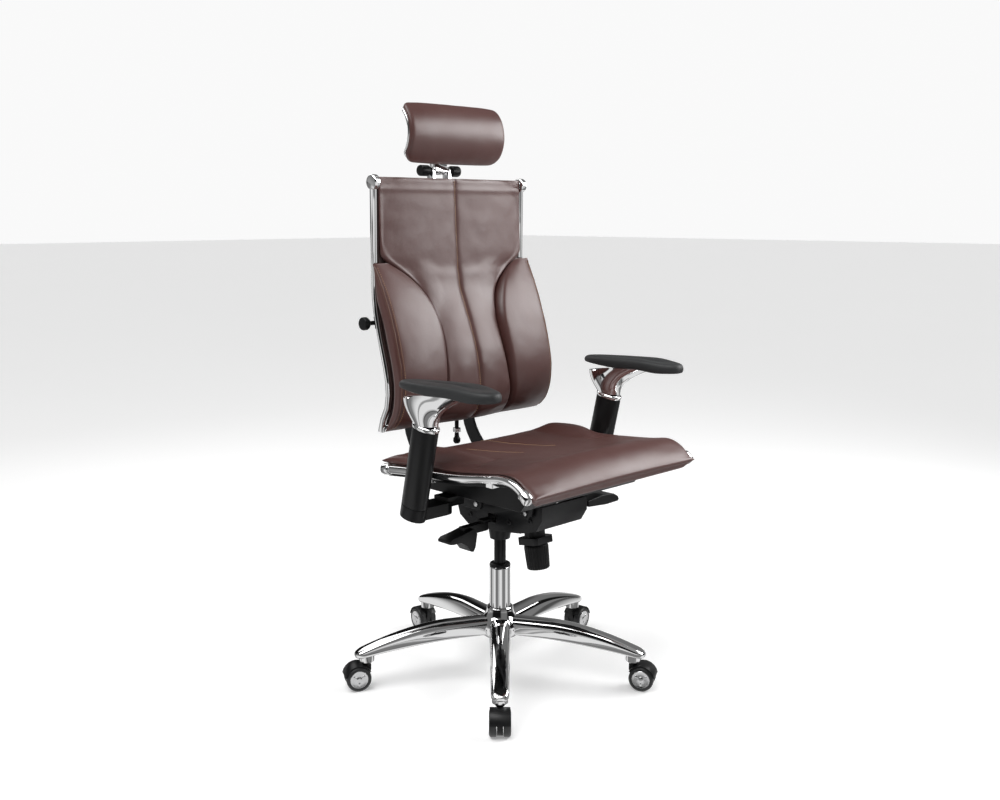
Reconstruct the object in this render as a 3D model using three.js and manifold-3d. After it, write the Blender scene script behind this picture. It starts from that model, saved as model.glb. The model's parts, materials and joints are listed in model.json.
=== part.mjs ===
// Swivel office chair: star base on casters, gas lift, tilting seat and back, arms, headrest.
// Millimetres, +Z up. The column axis is X = 0, Y = 0, the floor is Z = 0, the sitter faces -Y.
import * as THREE from 'three';
import { mergeVertices } from 'three/addons/utils/BufferGeometryUtils.js';
import Module from 'manifold-3d';

const wasm = await Module();
wasm.setup();

// ---------- driving dimensions ----------
const gap = 0.4;                  // running and seating clearance between pieces
const legCount = 5;
const baseTurn = 44.8;            // degrees from -Y towards -X to the first leg
const tipRadius = 352;            // column axis to the nose of a leg
const casterRadius = 325;         // column axis to a caster's stem
const wheelRadius = 29;
const trail = 22;                 // caster stem to its axle
const tubeRadius = 25;            // outer tube of the gas lift
const tubeTop = 262;
const cylinderRadius = 14;
const bossBottom = 331;           // underside of the mechanism round the gas lift
const housingHalf = 75;           // half width of the mechanism housing
const tiltAxle = { y: -25, z: 436 };
const seatPivot = { y: -165, z: 437 };
const seatHalf = 253;             // half width of the seat pad between its rails
const seatRailX = 265;
const seatRailRadius = 9;
const panHalf = 190;              // half width of the deep part of the seat pan
const backRailX = 232;
const backRailRadius = 8;
const barX = 96;                  // middle of the flat bars that carry the back
const postX = 298;
const postLean = 12.9;            // degrees, the top of an arm post leans forward
const postBottom = { y: -34, z: 445 };
const padPlane = { y: -105, z: 721.5, rise: 2 };   // underside of an arm pad, rising forward
const headCentre = { y: 212, z: 1268 };            // centre of the headrest's curve
const headRadius = 88;
const headSpan = 55.5;            // degrees from the foremost line to the headrest's top or bottom edge
const headHalf = 148;
const lowerPivot = { y: 205, z: 1187 };
const upperPivot = { y: 213, z: 1228 };
const lumbar = { y: 188, z: 842 };

// ---------- materials ----------
function finish(color, roughness, metalness) {
  return new THREE.MeshStandardMaterial({ color, roughness, metalness });
}

const chrome = finish(0xd8d9db, 0.08, 1);
const leather = finish(0x64403c, 0.45, 0);
const blackPlastic = finish(0x141415, 0.5, 0);
const blackMetal = finish(0x18181a, 0.4, 0.2);
const padPlastic = finish(0x3c3e3f, 0.6, 0);
const steel = finish(0x9a9c9f, 0.3, 1);

// ---------- helpers ----------
const rad = THREE.MathUtils.degToRad;

// A smooth function through [input, output] pairs, inputs rising.
function through(pairs) {
  const slope = pairs.map((p, i) => {
    const a = pairs[Math.max(i - 1, 0)];
    const b = pairs[Math.min(i + 1, pairs.length - 1)];
    return (b[1] - a[1]) / (b[0] - a[0]);
  });
  return (v) => {
    let i = 0;
    while (i < pairs.length - 2 && v > pairs[i + 1][0]) i += 1;
    const [a, b] = [pairs[i], pairs[i + 1]];
    const w = b[0] - a[0];
    const t = THREE.MathUtils.clamp((v - a[0]) / w, 0, 1);
    const s = 1 - t;
    return a[1] * (1 + 2 * t) * s * s + slope[i] * w * t * s * s
      + b[1] * (3 - 2 * t) * t * t - slope[i + 1] * w * s * t * t;
  };
}

function range(from, to, steps) {
  return Array.from({ length: steps + 1 }, (_, i) => from + ((to - from) * i) / steps);
}

// Moves every point of a geometry by a function of its own place.
function warp(geometry, move) {
  const p = geometry.attributes.position;
  for (let i = 0; i < p.count; i += 1) p.setXYZ(i, ...move(p.getX(i), p.getY(i), p.getZ(i)));
  return geometry;
}

function outline(points) {
  return new THREE.Shape(points.map(([a, b]) => new THREE.Vector2(a, b)));
}

function extrude(shape, depth, steps = 1) {
  return new THREE.ExtrudeGeometry(shape, { depth, steps, bevelEnabled: false, curveSegments: 10 });
}

// Side profile of [y, z] points, from x0 to x1.
function side(points, x0, x1, steps = 1) {
  const turn = new THREE.Matrix4().makeBasis(
    new THREE.Vector3(0, 1, 0), new THREE.Vector3(0, 0, 1), new THREE.Vector3(1, 0, 0));
  return extrude(outline(points), x1 - x0, steps).applyMatrix4(turn).translate(x0, 0, 0);
}

// Plan of [x, y] points, from z0 to z1.
function plan(points, z0, z1) {
  return extrude(outline(points), z1 - z0).translate(0, 0, z0);
}

// Front profile of [x, z] points, from y0 to y1.
function front(points, y0, y1) {
  return extrude(outline(points), y1 - y0).rotateX(Math.PI / 2).translate(0, y1, 0);
}

function box(x0, x1, y0, y1, z0, z1) {
  return new THREE.BoxGeometry(x1 - x0, y1 - y0, z1 - z0)
    .translate((x0 + x1) / 2, (y0 + y1) / 2, (z0 + z1) / 2);
}

// Turned body about Z from [radius, z] points; a profile that starts off the axis closes on itself.
function turned(points, segments = 24) {
  const profile = points[0][0] > 0 ? [...points, points[0]] : points;
  const outer = profile.map(([r, z]) => new THREE.Vector2(r, z));
  return new THREE.LatheGeometry(outer, segments).rotateX(Math.PI / 2);
}

function rod(radius, z0, z1, segments = 16) {
  return turned([[0, z0], [radius, z0], [radius, z1], [0, z1]], segments);
}

// Turned body about the X axis through y, z, from [radius, x] points.
function turnedX(points, y, z, segments = 20) {
  return turned(points, segments).rotateY(Math.PI / 2).translate(0, y, z);
}

function rodX(radius, x0, x1, y, z, segments = 16) {
  return turnedX([[0, x0], [radius, x0], [radius, x1], [0, x1]], y, z, segments);
}

function tube(points, radius, steps, sides = 12) {
  const ring = outline(oval(radius, radius, sides));
  const path = new THREE.CatmullRomCurve3(points.map((p) => new THREE.Vector3(...p)));
  return new THREE.ExtrudeGeometry(ring, { steps, extrudePath: path, bevelEnabled: false });
}

// Circle of [a, b] points about a centre, from one angle to another in degrees.
function arc(a, b, radius, from, to, steps) {
  return range(from, to, steps).map((d) => [a + radius * Math.cos(rad(d)), b + radius * Math.sin(rad(d))]);
}

function oval(halfX, halfY, steps = 20) {
  return range(0, 360, steps).slice(0, -1).map((d) => [halfX * Math.cos(rad(d)), halfY * Math.sin(rad(d))]);
}

// Band between two curves y = low(z) and y = high(z) for z in zs, as a side profile.
function band(low, high, zs) {
  return [...zs.map((z) => [low(z), z]), ...zs.slice().reverse().map((z) => [high(z), z])];
}

function solid(geometry) {
  const bare = geometry.clone();
  bare.deleteAttribute('normal');
  bare.deleteAttribute('uv');
  const merged = mergeVertices(bare, 1e-3);
  const at = merged.attributes.position;
  const corner = (i) => new THREE.Vector3().fromBufferAttribute(at, i);
  const faces = [];
  let volume = 0;
  for (let i = 0; i < merged.index.count; i += 3) {
    const [a, b, c] = [0, 1, 2].map((k) => merged.index.getX(i + k));
    if (a !== b && b !== c && c !== a) {
      faces.push([a, b, c]);
      volume += corner(a).dot(corner(b).cross(corner(c)));
    }
  }
  if (volume < 0) faces.forEach((f) => f.reverse());   // outlines may run either way
  return new wasm.Manifold(new wasm.Mesh({
    numProp: 3,
    vertProperties: new Float32Array(at.array),
    triVerts: new Uint32Array(faces.flat()),
  }));
}

function asSolid(body) {
  return body.isBufferGeometry ? solid(body) : body;
}

function join(...bodies) {
  return bodies.map(asSolid).reduce((a, b) => a.add(b));
}

function cut(body, ...tools) {
  return tools.map(asSolid).reduce((a, b) => a.subtract(b), asSolid(body));
}

function toGeometry(manifold) {
  const mesh = manifold.getMesh();
  const geometry = new THREE.BufferGeometry();
  geometry.setAttribute('position', new THREE.BufferAttribute(new Float32Array(mesh.vertProperties), 3));
  geometry.setIndex(new THREE.BufferAttribute(new Uint32Array(mesh.triVerts), 1));
  geometry.computeVertexNormals();
  return geometry;
}

const chair = new THREE.Group();

function add(name, body, material, parent = chair) {
  const mesh = new THREE.Mesh(toGeometry(asSolid(body)), material);
  mesh.name = name;
  parent.add(mesh);
  return mesh;
}

function mirrorX(geometry) {
  return warp(geometry.clone(), (x, y, z) => [-x, y, z]);
}

// ---------- star base ----------
const legTop = through([[0, 141], [110, 141], [170, 139], [216, 133], [256, 124], [292, 113], [325, 102],
  [352, 90]]);
const legBottom = through([[0, 99], [92, 99], [148, 97], [197, 93], [245, 88], [281, 82], [314, 77],
  [352, 74]]);
const legHalf = through([[0, 26], [100, 25], [220, 22], [330, 19], [352, 19]]);

// One leg along -Y: a rounded bar whose nose closes in over the last stretch.
function leg() {
  const noseStart = 332;
  const bar = new THREE.CylinderGeometry(1, 1, 1, 14, 11).rotateX(Math.PI / 2);
  return warp(bar, (x, y, z) => {
    const across = Math.hypot(x, y) < 1e-6 ? 0 : 1;
    const r = 12 + (z + 0.5) * (tipRadius - 12);
    const nose = Math.sqrt(Math.max(0.05, 1 - Math.max(0, (r - noseStart) / (tipRadius - noseStart)) ** 2));
    const square = (v) => across * Math.sign(v) * Math.abs(v) ** 0.72;
    const middle = (legTop(r) + legBottom(r)) / 2;
    return [square(x) * legHalf(r) * nose, -r, middle + square(y) * ((legTop(r) - legBottom(r)) / 2) * nose];
  });
}

function starBase() {
  const hub = turned([[20, 92], [44, 94], [52, 104], [52, 122], [46, 134], [37, 143], [33, 152], [32, 160],
    [30, 163], [20, 163]], 28);
  const legs = range(0, legCount - 1, legCount - 1).map((i) => {
    const turn = -rad(baseTurn + (360 / legCount) * i);
    const socket = rod(17.5, 64.5, 90, 16).translate(0, -casterRadius, 0);
    return join(leg(), socket).subtract(solid(rod(5.8, 60, 93, 10).translate(0, -casterRadius, 0)))
      .transform(new THREE.Matrix4().makeRotationZ(turn).elements);
  });
  const bore = rod(tubeRadius + gap, 80, 175, 28);
  return cut(legs.reduce((a, b) => a.add(b), solid(hub)), bore);
}

add('star_base', starBase(), chrome);

// ---------- casters ----------
// Stem, boss, middle web, axle and a fender over both wheels, in one moulding with its pins.
function casterFork() {
  const axle = { y: trail, z: wheelRadius };
  const round = (r, from, to, steps) => arc(axle.y, axle.z, r, from, to, steps);
  const web = side([[-9, 58.5], [9, 58.5], ...round(26, 60, -60, 5), ...round(26, 250, 180, 3), [-9, 46]],
    -6.5, 6.5);
  const fender = side([...round(32.5, 12, 150, 9), ...round(30.2, 150, 12, 9)], -22, 22);
  const roof = side([...round(31.2, 16, 146, 5), ...round(24, 146, 16, 3)], -6.5, 6.5);
  const stem = rod(5.4, 50, 88, 10);
  const collar = turned([[0, 46], [7, 46], [7, 57], [10, 58], [10, 60.5], [0, 60.5]], 12);
  const pins = rodX(4.5, -19, 19, axle.y, axle.z, 10);
  return join(web, roof, fender, stem, collar, pins);
}

// Wheel with a blind bore from the inside, a dished outer face and a rounded tread.
function casterWheel(hand) {
  const profile = [[0, 19.5], [4.9, 19.5], [4.9, 7.5], [27.5, 7.5], [wheelRadius, 10], [wheelRadius, 20],
    [26.5, 23.4], [0, 23.4]];
  const wheel = turnedX(profile, trail, wheelRadius, 22);
  return hand < 0 ? mirrorX(wheel) : wheel;
}

range(0, legCount - 1, legCount - 1).forEach((i) => {
  const place = new THREE.Group();
  const angle = baseTurn + (360 / legCount) * i;
  place.position.set(-casterRadius * Math.sin(rad(angle)), -casterRadius * Math.cos(rad(angle)), 0);
  place.rotation.z = rad(180 - angle);    // the wheels trail outward
  chair.add(place);
  add(`caster_${i + 1}_fork`, casterFork(), blackPlastic, place);
  add(`caster_${i + 1}_wheel_left`, casterWheel(-1), blackPlastic, place);
  add(`caster_${i + 1}_wheel_right`, casterWheel(1), blackPlastic, place);
});

// ---------- gas lift ----------
add('column_tube', turned([[0, 60], [tubeRadius, 60], [tubeRadius, tubeTop], [tubeRadius - 2, tubeTop],
  [tubeRadius - 2, 63], [0, 63]], 32), chrome);
add('column_bush', turned([[cylinderRadius + gap, 215], [22.6, 215], [22.6, tubeTop + gap],
  [tubeRadius, tubeTop + gap], [tubeRadius, 267], [23, 270], [cylinderRadius + gap, 270]], 28), blackPlastic);
add('thrust_bearing', turned([[6, 63.3], [15, 63.3], [15, 72], [6, 72]], 24), steel);
add('piston_rod', turned([[0, 72.4], [12, 72.4], [12, 76], [5, 76], [5, 222], [12, 222], [12, 232], [0, 232]],
  20), steel);
add('gas_cylinder', turned([[5.4, 125], [cylinderRadius, 125], [cylinderRadius, 351.5], [4, 351.5], [4, 340],
  [0, 340], [0, 310], [12.4, 310], [12.4, 137], [5.4, 137]], 24), blackMetal);
add('valve_pin', rod(3.5, 346.5, 398, 12), steel);

// ---------- tilt mechanism ----------
const knobTop = { y: -112, z: 372 };      // where the tension knob's shaft enters the housing
const knobTilt = -9;
const leverRow = -50;                     // middle of the height lever in Y
const tiltRow = -125;                     // middle of the tilt lever in Y

function onKnobAxis(geometry) {
  return geometry.rotateX(rad(knobTilt)).translate(0, knobTop.y, knobTop.z);
}

function housing() {
  const shellProfile = [[-205, 455], [-205, 425], [-188, 398], [-140, 384], [-60, 374], [30, 374], [58, 392],
    [70, 430], [-10, 447]];
  const pocket = [[-198, 500], [-198, 428], [-184, 404], [-138, 392], [40, 392], [52, 404], [60, 500]];
  const boss = turned([[0, bossBottom], [24, bossBottom], [27, 350], [30, 380], [30, 391], [0, 391]], 24);
  const collar = onKnobAxis(rod(24, -20, 12, 24));
  const flange = onKnobAxis(plan([[-31, -24], [-24, -31], [24, -31], [31, -24], [31, 24], [24, 31], [-24, 31],
    [-31, 24]], -30, -14));
  const shell = join(side(shellProfile, -housingHalf, housingHalf), boss, collar, flange);
  return cut(
    shell,
    side(pocket, -housingHalf + 4, housingHalf - 4),
    rod(cylinderRadius + gap, bossBottom - 5, 352, 24),
    rod(8, 340, 400, 16),
    onKnobAxis(rod(5.4, -40, 40, 16)),
    rodX(6.4, -90, 90, tiltAxle.y, tiltAxle.z),
    rodX(5.4, -90, 90, seatPivot.y, seatPivot.z),
    box(-80, -60, leverRow - 13, leverRow + 13, 394, 413),
    box(60, 80, tiltRow - 13, tiltRow + 13, 399, 425),
  );
}

// Flat inner arm over the valve pin, a stepped bar outside and a paddle.
function heightLever() {
  const arm = plan([[9, 8], [-8, 8], [-62, leverRow + 10], [-112, leverRow + 10], [-112, leverRow - 10],
    [-66, leverRow - 10], [9, -8]], 398.5, 405.5);
  const bar = plan([[-98, leverRow + 11], [-170, leverRow + 9], [-170, leverRow - 9], [-98, leverRow - 11]],
    381, 400);
  const paddle = front([[-150, 396], [-185, 389], [-215, 385], [-223, 380], [-222, 374], [-212, 372],
    [-190, 372], [-172, 362], [-158, 345], [-152, 344], [-146, 352], [-140, 383]],
  leverRow - 20, leverRow + 20);
  return join(arm, bar, paddle);
}

function tiltLever() {
  const arm = box(50, 160, tiltRow - 8, tiltRow + 8, 408, 416);
  const paddle = front([[148, 419], [200, 424], [244, 420], [258, 412], [262, 404], [258, 400], [215, 399],
    [180, 402], [150, 404]], tiltRow - 22, tiltRow + 22);
  return join(arm, paddle);
}

function tensionKnob() {
  return onKnobAxis(turned([[0, -90], [24, -90], [27, -87], [28.5, -40], [28, -34], [24, -31], [5, -31],
    [5, 58], [0, 58]], 28));
}

// Coil spring round the knob's shaft, on the housing floor.
function tensionSpring() {
  const turns = 4;
  const points = range(0, turns, turns * 8).map((t) => {
    const a = 2 * Math.PI * t;
    return [11 * Math.cos(a), 11 * Math.sin(a), 26 + 6 * t];
  });
  return onKnobAxis(tube(points, 2, turns * 8, 5));
}

add('mechanism_housing', housing(), blackMetal);
add('tilt_axle', rodX(6, -104, 104, tiltAxle.y, tiltAxle.z), steel);
add('seat_pivot', rodX(5, -88, 88, seatPivot.y, seatPivot.z), steel);
add('tension_spring', tensionSpring(), steel);
add('tension_knob', tensionKnob(), blackPlastic);
add('height_lever', heightLever(), blackPlastic);
add('tilt_lever', tiltLever(), blackPlastic);

// ---------- seat ----------
const seatRail = [[98, 524], [20, 532], [-142, 543], [-240, 557], [-288, 563], [-318, 553], [-345, 534]];
const seatRailZ = through(seatRail.slice().reverse());
const panTop = (y) => seatRailZ(y) - 10;
const panRows = range(-300, 100, 16);     // shared by the pan and the pad on it

function seatRailBody(hand) {
  const x = hand * seatRailX;
  const bar = tube(seatRail.map(([y, z]) => [x, y, z]), seatRailRadius, 16, 10);
  const cap = (from, to) => {
    const along = new THREE.Vector3(0, to[0] - from[0], to[1] - from[1]).normalize();
    const turn = new THREE.Quaternion().setFromUnitVectors(new THREE.Vector3(0, 0, 1), along);
    return turned([[0, -9], [9.5, -9], [11.5, -7], [11.5, 3], [8, 7], [0, 8]], 16)
      .applyQuaternion(turn).translate(x, from[0] + along.y * 2, from[1] + along.z * 2);
  };
  const last = seatRail.length - 1;
  return join(bar, cap(seatRail[0], [110, 523]), cap(seatRail[last], [-356, 526]));
}

// Stamped carrier over the housing, with two ears down to the front pivot.
function seatCarrier() {
  const plate = box(-84, 84, -200, 50, 470, 475.5);
  const ear = (hand) => {
    const eye = arc(seatPivot.y, seatPivot.z, 13, 200, 340, 6);
    const profile = [[-190, 473], [-182, 431], ...eye, [-148, 431], [-130, 473]];
    const x0 = hand > 0 ? 78 : -84;
    return side(profile, x0, x0 + 6);
  };
  return cut(join(plate, ear(1), ear(-1)), rodX(5.4, -90, 90, seatPivot.y, seatPivot.z));
}

// Thin shell under the pad, with a deeper box in the middle.
function seatPan() {
  const under = panRows.slice().reverse().map((y) => [y, panTop(y) - 8]);
  const skin = side([...panRows.map((y) => [y, panTop(y)]), ...under], -seatHalf + 0.5, seatHalf - 0.5);
  const roof = [75, 20, -142, -240, -288].map((y) => [y, panTop(y) - 3]);
  const well = side([[-250, 476], [50, 476], [75, 500], ...roof, [-292, 530]], -panHalf, panHalf);
  return join(skin, well);
}

// Height added to the flat pad: a dish where one sits and a bolster along each hip.
function seatRelief(x, y) {
  const dish = -7 * Math.exp(-((x / 120) ** 2) - ((y + 60) / 130) ** 2);
  const hip = 20 * Math.exp(-(((Math.abs(x) - 198) / 42) ** 2) - ((y - 15) / 62) ** 2);
  return dish + hip;
}

function seatPad() {
  const top = [[112, 540], [106, 553], [60, 558], [0, 558], [-80, 559], [-160, 564], [-230, 573], [-280, 579],
    [-310, 574], [-338, 559], [-354, 543], [-358, 529], [-352, 518], [-338, 514]];
  const bottom = panRows.map((y) => [y, panTop(y) + gap]);
  const pad = side([...top, [-318, 524], ...bottom, [112, 520]], -seatHalf, seatHalf, 12);
  return warp(pad, (x, y, z) => {
    const onTop = z > panTop(y) + 12 && y > -330;
    const edge = 1 - (Math.abs(x) / seatHalf) ** 8;
    return [x, y, onTop ? z + seatRelief(x, y) * edge - 4 * (1 - edge) : z];
  });
}

add('seat_carrier', seatCarrier(), blackMetal);
add('seat_pan', seatPan(), blackPlastic);
add('seat_rail_left', seatRailBody(1), chrome);
add('seat_rail_right', seatRailBody(-1), chrome);
add('seat_pad', seatPad(), leather);

// ---------- arms ----------
const sleeveHalf = { x: 23.5, y: 33 };    // oval section of an arm post
const armPostFoot = 28;           // along the post, from its lowest point
const armPostTop = 204;

// Frame of an arm post: local Z runs up the leaning post.
function postFrame(geometry) {
  return geometry.rotateX(rad(postLean)).translate(postX, postBottom.y, postBottom.z);
}

function armBracket() {
  const cup = postFrame(plan(oval(sleeveHalf.x, sleeveHalf.y), 0, armPostFoot - gap));
  const reach = plan([[postX, -60], [postX, -6], ...arc(222, -33, 29, 90, 270, 8)], 440, 466);
  const riser = box(168, 215, -56, -10, 455, 475.5);
  return join(cup, reach, riser);
}

function armSleeve() {
  const tall = plan(oval(sleeveHalf.x, sleeveHalf.y), armPostFoot, armPostTop);
  const hollow = plan(oval(sleeveHalf.x - 3, sleeveHalf.y - 3), armPostFoot - 5, armPostTop + 5);
  return cut(postFrame(tall), postFrame(hollow));
}

// Inner post, collar and the flared casting that holds the pad, scooped out behind.
function armSlider() {
  const post = postFrame(plan(oval(sleeveHalf.x - 3 - gap, sleeveHalf.y - 3 - gap), 70, armPostTop + 4));
  const collar = postFrame(plan(oval(sleeveHalf.x + 1, sleeveHalf.y + 1), armPostTop + 1, armPostTop + 11));
  const topZ = (y) => padPlane.z - 0.7 + (padPlane.y - y) * Math.tan(rad(padPlane.rise));
  const rim = [[-26, 9], [-34, 11], [-50, 12], [-66, 10], [-80, 5], [-90, 0], [-120, 0], [-150, 0], [-180, 0],
    [-203, 0], [-215, 0]].map(([y, drop]) => [y, topZ(y) - drop]);
  const profile = [[-54, 652], [-42, 664], [-32, 680], [-26, 698], ...rim, [-216, topZ(-216) - 4],
    [-196, 711], [-170, 703], [-146, 692], [-128, 678], [-114, 656]];
  const casting = warp(side(profile, -1, 1, 8), (x, y, z) => {
    const up = THREE.MathUtils.clamp((z - 652) / 58, 0, 1);
    const reach = y > -80 ? (y + 80) / 58 : (y + 80) / 140;
    return [postX + x * (23 + 11 * up) * Math.sqrt(Math.max(0.05, 1 - reach * reach)), y, z];
  });
  const scoop = plan(oval(19, 34), topZ(-66) - 26, topZ(-66) + 9).translate(postX, -66, 0);
  return cut(join(post, collar, casting), scoop);
}

// Soft pad, wider and rounder at the front.
function armPad() {
  const rear = arc(0, 62, 30, 0, 180, 8);
  const nose = arc(0, -142, 40, 180, 360, 10);
  const bevel = 8;
  return new THREE.ExtrudeGeometry(outline([...rear, [-38, -20], ...nose, [38, -20]]), {
    depth: 8, steps: 1, bevelEnabled: true, bevelThickness: bevel, bevelSize: bevel, bevelSegments: 2,
  }).translate(0, 0, bevel);
}

[['left', 1], ['right', -1]].forEach(([name, hand]) => {
  const mirror = new THREE.Matrix4().makeScale(hand, 1, 1).elements;
  const pick = (body) => body.transform(mirror);
  add(`arm_bracket_${name}`, pick(armBracket()), blackPlastic);
  add(`arm_sleeve_${name}`, pick(armSleeve()), blackPlastic);
  add(`arm_slider_${name}`, pick(armSlider()), chrome);
  const top = new THREE.Group();
  top.position.set(hand * postX, padPlane.y, padPlane.z);
  top.rotation.x = -rad(padPlane.rise);
  chair.add(top);
  add(`arm_pad_${name}`, armPad(), padPlastic, top);
});

// ---------- back ----------
const backBottom = 602;
const backTop = 1156;
const backStep = 15;              // pieces that lie on each other share these heights
const railY = through([[598, 150], [628, 141], [660, 124], [704, 121], [753, 130], [818, 149], [899, 164],
  [1026, 165], [1156, 163]]);
const panelFront = (z) => railY(z) - 5;
const panelRear = (z) => railY(z) + 5;
const shellFront = through([[600, 122], [625, 112], [660, 96], [700, 92], [750, 100], [800, 114], [850, 130],
  [900, 150]]);
const padFront = through([[602, 108], [625, 80], [655, 64], [692, 60], [768, 72], [849, 101], [923, 131],
  [1026, 141], [1168, 148]]);
const wingTop = 978;
const wingOuter = 247;
const wingFront = through([[602, 108], [625, 79], [659, 63], [715, 58], [752, 63], [842, 87], [917, 115],
  [wingTop, 147]]);
const wingInner = through([[602, 112], [660, 110], [700, 105], [760, 99], [810, 95], [866, 101], [922, 130],
  [965, 180], [wingTop + 12, 232]]);

// The shared heights between two ends, and the ends.
function backRows(from, to) {
  const first = Math.ceil((from + 3) / backStep) * backStep;
  const last = Math.floor((to - 3) / backStep) * backStep;
  return [from, ...range(first, last, (last - first) / backStep), to];
}

function backRail(hand) {
  const x = hand * backRailX;
  const path = range(598, 1150, 20).map((z) => [x, railY(z), z]);
  const bar = tube(path, backRailRadius, 18, 10);
  const disc = turnedX([[0, -8], [15, -8], [17, -6], [17, 6], [15, 8], [0, 8]], railY(backTop), backTop, 20)
    .translate(x, 0, 0);
  return join(bar, disc);
}

// Padded skin between the rails.
function backPanel() {
  const half = backRailX - backRailRadius - gap;
  return side(band(panelFront, panelRear, backRows(backBottom + 9.5, backTop - 8)), -half, half);
}

// Plate that carries the wings, with a spine back to the panel.
function backShell() {
  const plate = side(band(shellFront, (z) => shellFront(z) + 4, backRows(625, 900)), -230, 230);
  const spine = side(band((z) => shellFront(z) + 2, (z) => panelFront(z) - gap, backRows(690, 860)), -28, 28);
  return join(plate, spine);
}

function wingRear(z) {
  return Math.min(shellFront(z), 156.4) - gap;
}

// Rear of the upper back, clear of the panel and of the top crossbar.
function upperRear(z) {
  return z > backTop - 15 ? railY(backTop) - 7.6 : panelFront(z) - 0.6;
}

// Upper back and centre column: full width at the top, drawn in between the wings below.
function backPad() {
  const lowRows = [...backRows(604, 903), ...backRows(909, 993).slice(0, -1)];
  const rows = [...lowRows, ...range(1005, 1140, 3), 1148, 1168];
  const columns = 6;
  const grid = new THREE.BoxGeometry(2, 1, rows.length - 1, columns, 1, rows.length - 1);
  return warp(grid, (x, y, z) => {
    const height = rows[Math.round(z + (rows.length - 1) / 2)];
    const half = Math.min(backRailX - 9.4, wingInner(height) - 0.6);
    const rear = height < 906 ? wingRear(height) : upperRear(height);
    const crown = (height > wingTop ? 5 : 3) * x * x;
    return [x * half, y < 0 ? padFront(height) + crown : rear, height];
  });
}

// Petal-shaped side cushion, thickest at its middle.
function backWing(hand) {
  const rows = backRows(604, wingTop);
  const columns = 5;
  const grid = new THREE.BoxGeometry(1, 1, rows.length - 1, columns, 1, rows.length - 1);
  return warp(grid, (x, y, z) => {
    const height = rows[Math.round(z + (rows.length - 1) / 2)];
    const u = hand * x + 0.5;
    const inner = wingInner(height);
    const swell = 6 * Math.sin((Math.PI * (height - rows[0])) / (wingTop - rows[0]));
    const round = 1 - (2 * u - 1) ** 2;
    const depth = y < 0 ? wingFront(height) + 3 - swell * round : wingRear(height);
    return [hand * (inner + u * (wingOuter - inner)), depth, height];
  });
}

// Flat bar: an eye on the tilt axle, then back and up behind the seat.
const barLine = [[-25, 436], [20, 438], [70, 450], [112, 470], [152, 500], [184, 532], [206, 570], [212, 615],
  [202, 655], [190, 700], [188, 740], [196, 775]];

function backBar(hand) {
  const line = new THREE.SplineCurve(barLine.map(([y, z]) => new THREE.Vector2(y, z)));
  const count = 22;
  const edge = (offset) => range(0, 1, count).map((t) => {
    const p = line.getPoint(t);
    const d = line.getTangent(t);
    const half = 14 + 4 * Math.min(1, 3 * t);
    return [p.x - d.y * half * offset, p.y + d.x * half * offset];
  });
  const eye = rodX(15, hand * barX - 4, hand * barX + 4, tiltAxle.y, tiltAxle.z, 24);
  const bar = side([...edge(-1), ...edge(1).reverse()], hand * barX - 4, hand * barX + 4);
  return cut(join(bar, eye), rodX(6.4, hand * barX - 10, hand * barX + 10, tiltAxle.y, tiltAxle.z, 16));
}

// Plate behind the panel that the bars bolt to, with two ears for the lumbar rod.
function backBracket() {
  const face = (z) => panelRear(z) + gap;
  const plate = side(band(face, (z) => face(z) + 5, backRows(660, 870)), -116, 116);
  const footBand = band((z) => face(z) + 3, (z) => barRear(z) - 35.4, range(680, 770, 5));
  const foot = (hand) => side(footBand, hand * barX - 9, hand * barX + 9);
  const eye = arc(lumbar.y, lumbar.z, 11, -70, 90, 8);
  const ear = (x) => side([[face(820) + 2, 822], ...eye, [face(865) + 2, 862]], x, x + 7);
  const bore = rodX(5.5, -130, 130, lumbar.y, lumbar.z);
  return cut(join(plate, foot(1), foot(-1), ear(107), ear(-114)), bore);
}

// Rear edge of a bar above the seat, so that its foot meets the bar's front edge.
function barRear(z) {
  const line = new THREE.SplineCurve(barLine.map(([y, v]) => new THREE.Vector2(y, v)));
  const best = range(0.6, 1, 80).map((t) => line.getPoint(t))
    .reduce((a, p) => (Math.abs(p.y - z) < Math.abs(a.y - z) ? p : a));
  return best.x + 16.5;
}

function backStrut() {
  return turned([[0, 536], [6, 537], [9, 542], [9, 549], [6, 553], [5, 564], [8, 566], [8, 574], [5, 576],
    [5, 594.4], [0, 594.4]], 20).translate(0, railY(backBottom), 0);
}

function lumbarRod() {
  return turnedX([[0, -252], [13, -252], [15, -250], [15, -240], [12, -236], [7, -235], [5, -232], [5, 232],
    [7, 235], [12, 236], [15, 240], [15, 250], [13, 252], [0, 252]], lumbar.y, lumbar.z, 16);
}

add('back_bar_left', backBar(1), blackMetal);
add('back_bar_right', backBar(-1), blackMetal);
add('back_bracket', backBracket(), blackMetal);
add('back_rail_left', backRail(1), chrome);
add('back_rail_right', backRail(-1), chrome);
[['top', backTop], ['bottom', backBottom]].forEach(([name, z]) => {
  const half = backRailX - backRailRadius - gap;
  add(`back_crossbar_${name}`, rodX(7, -half, half, railY(z), z), chrome);
});
add('back_panel', backPanel(), leather);
add('back_shell', backShell(), blackPlastic);
add('back_pad', backPad(), leather);
add('back_wing_left', backWing(1), leather);
add('back_wing_right', backWing(-1), leather);
add('back_strut', backStrut(), blackPlastic);
add('lumbar_rod', lumbarRod(), blackPlastic);

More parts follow.
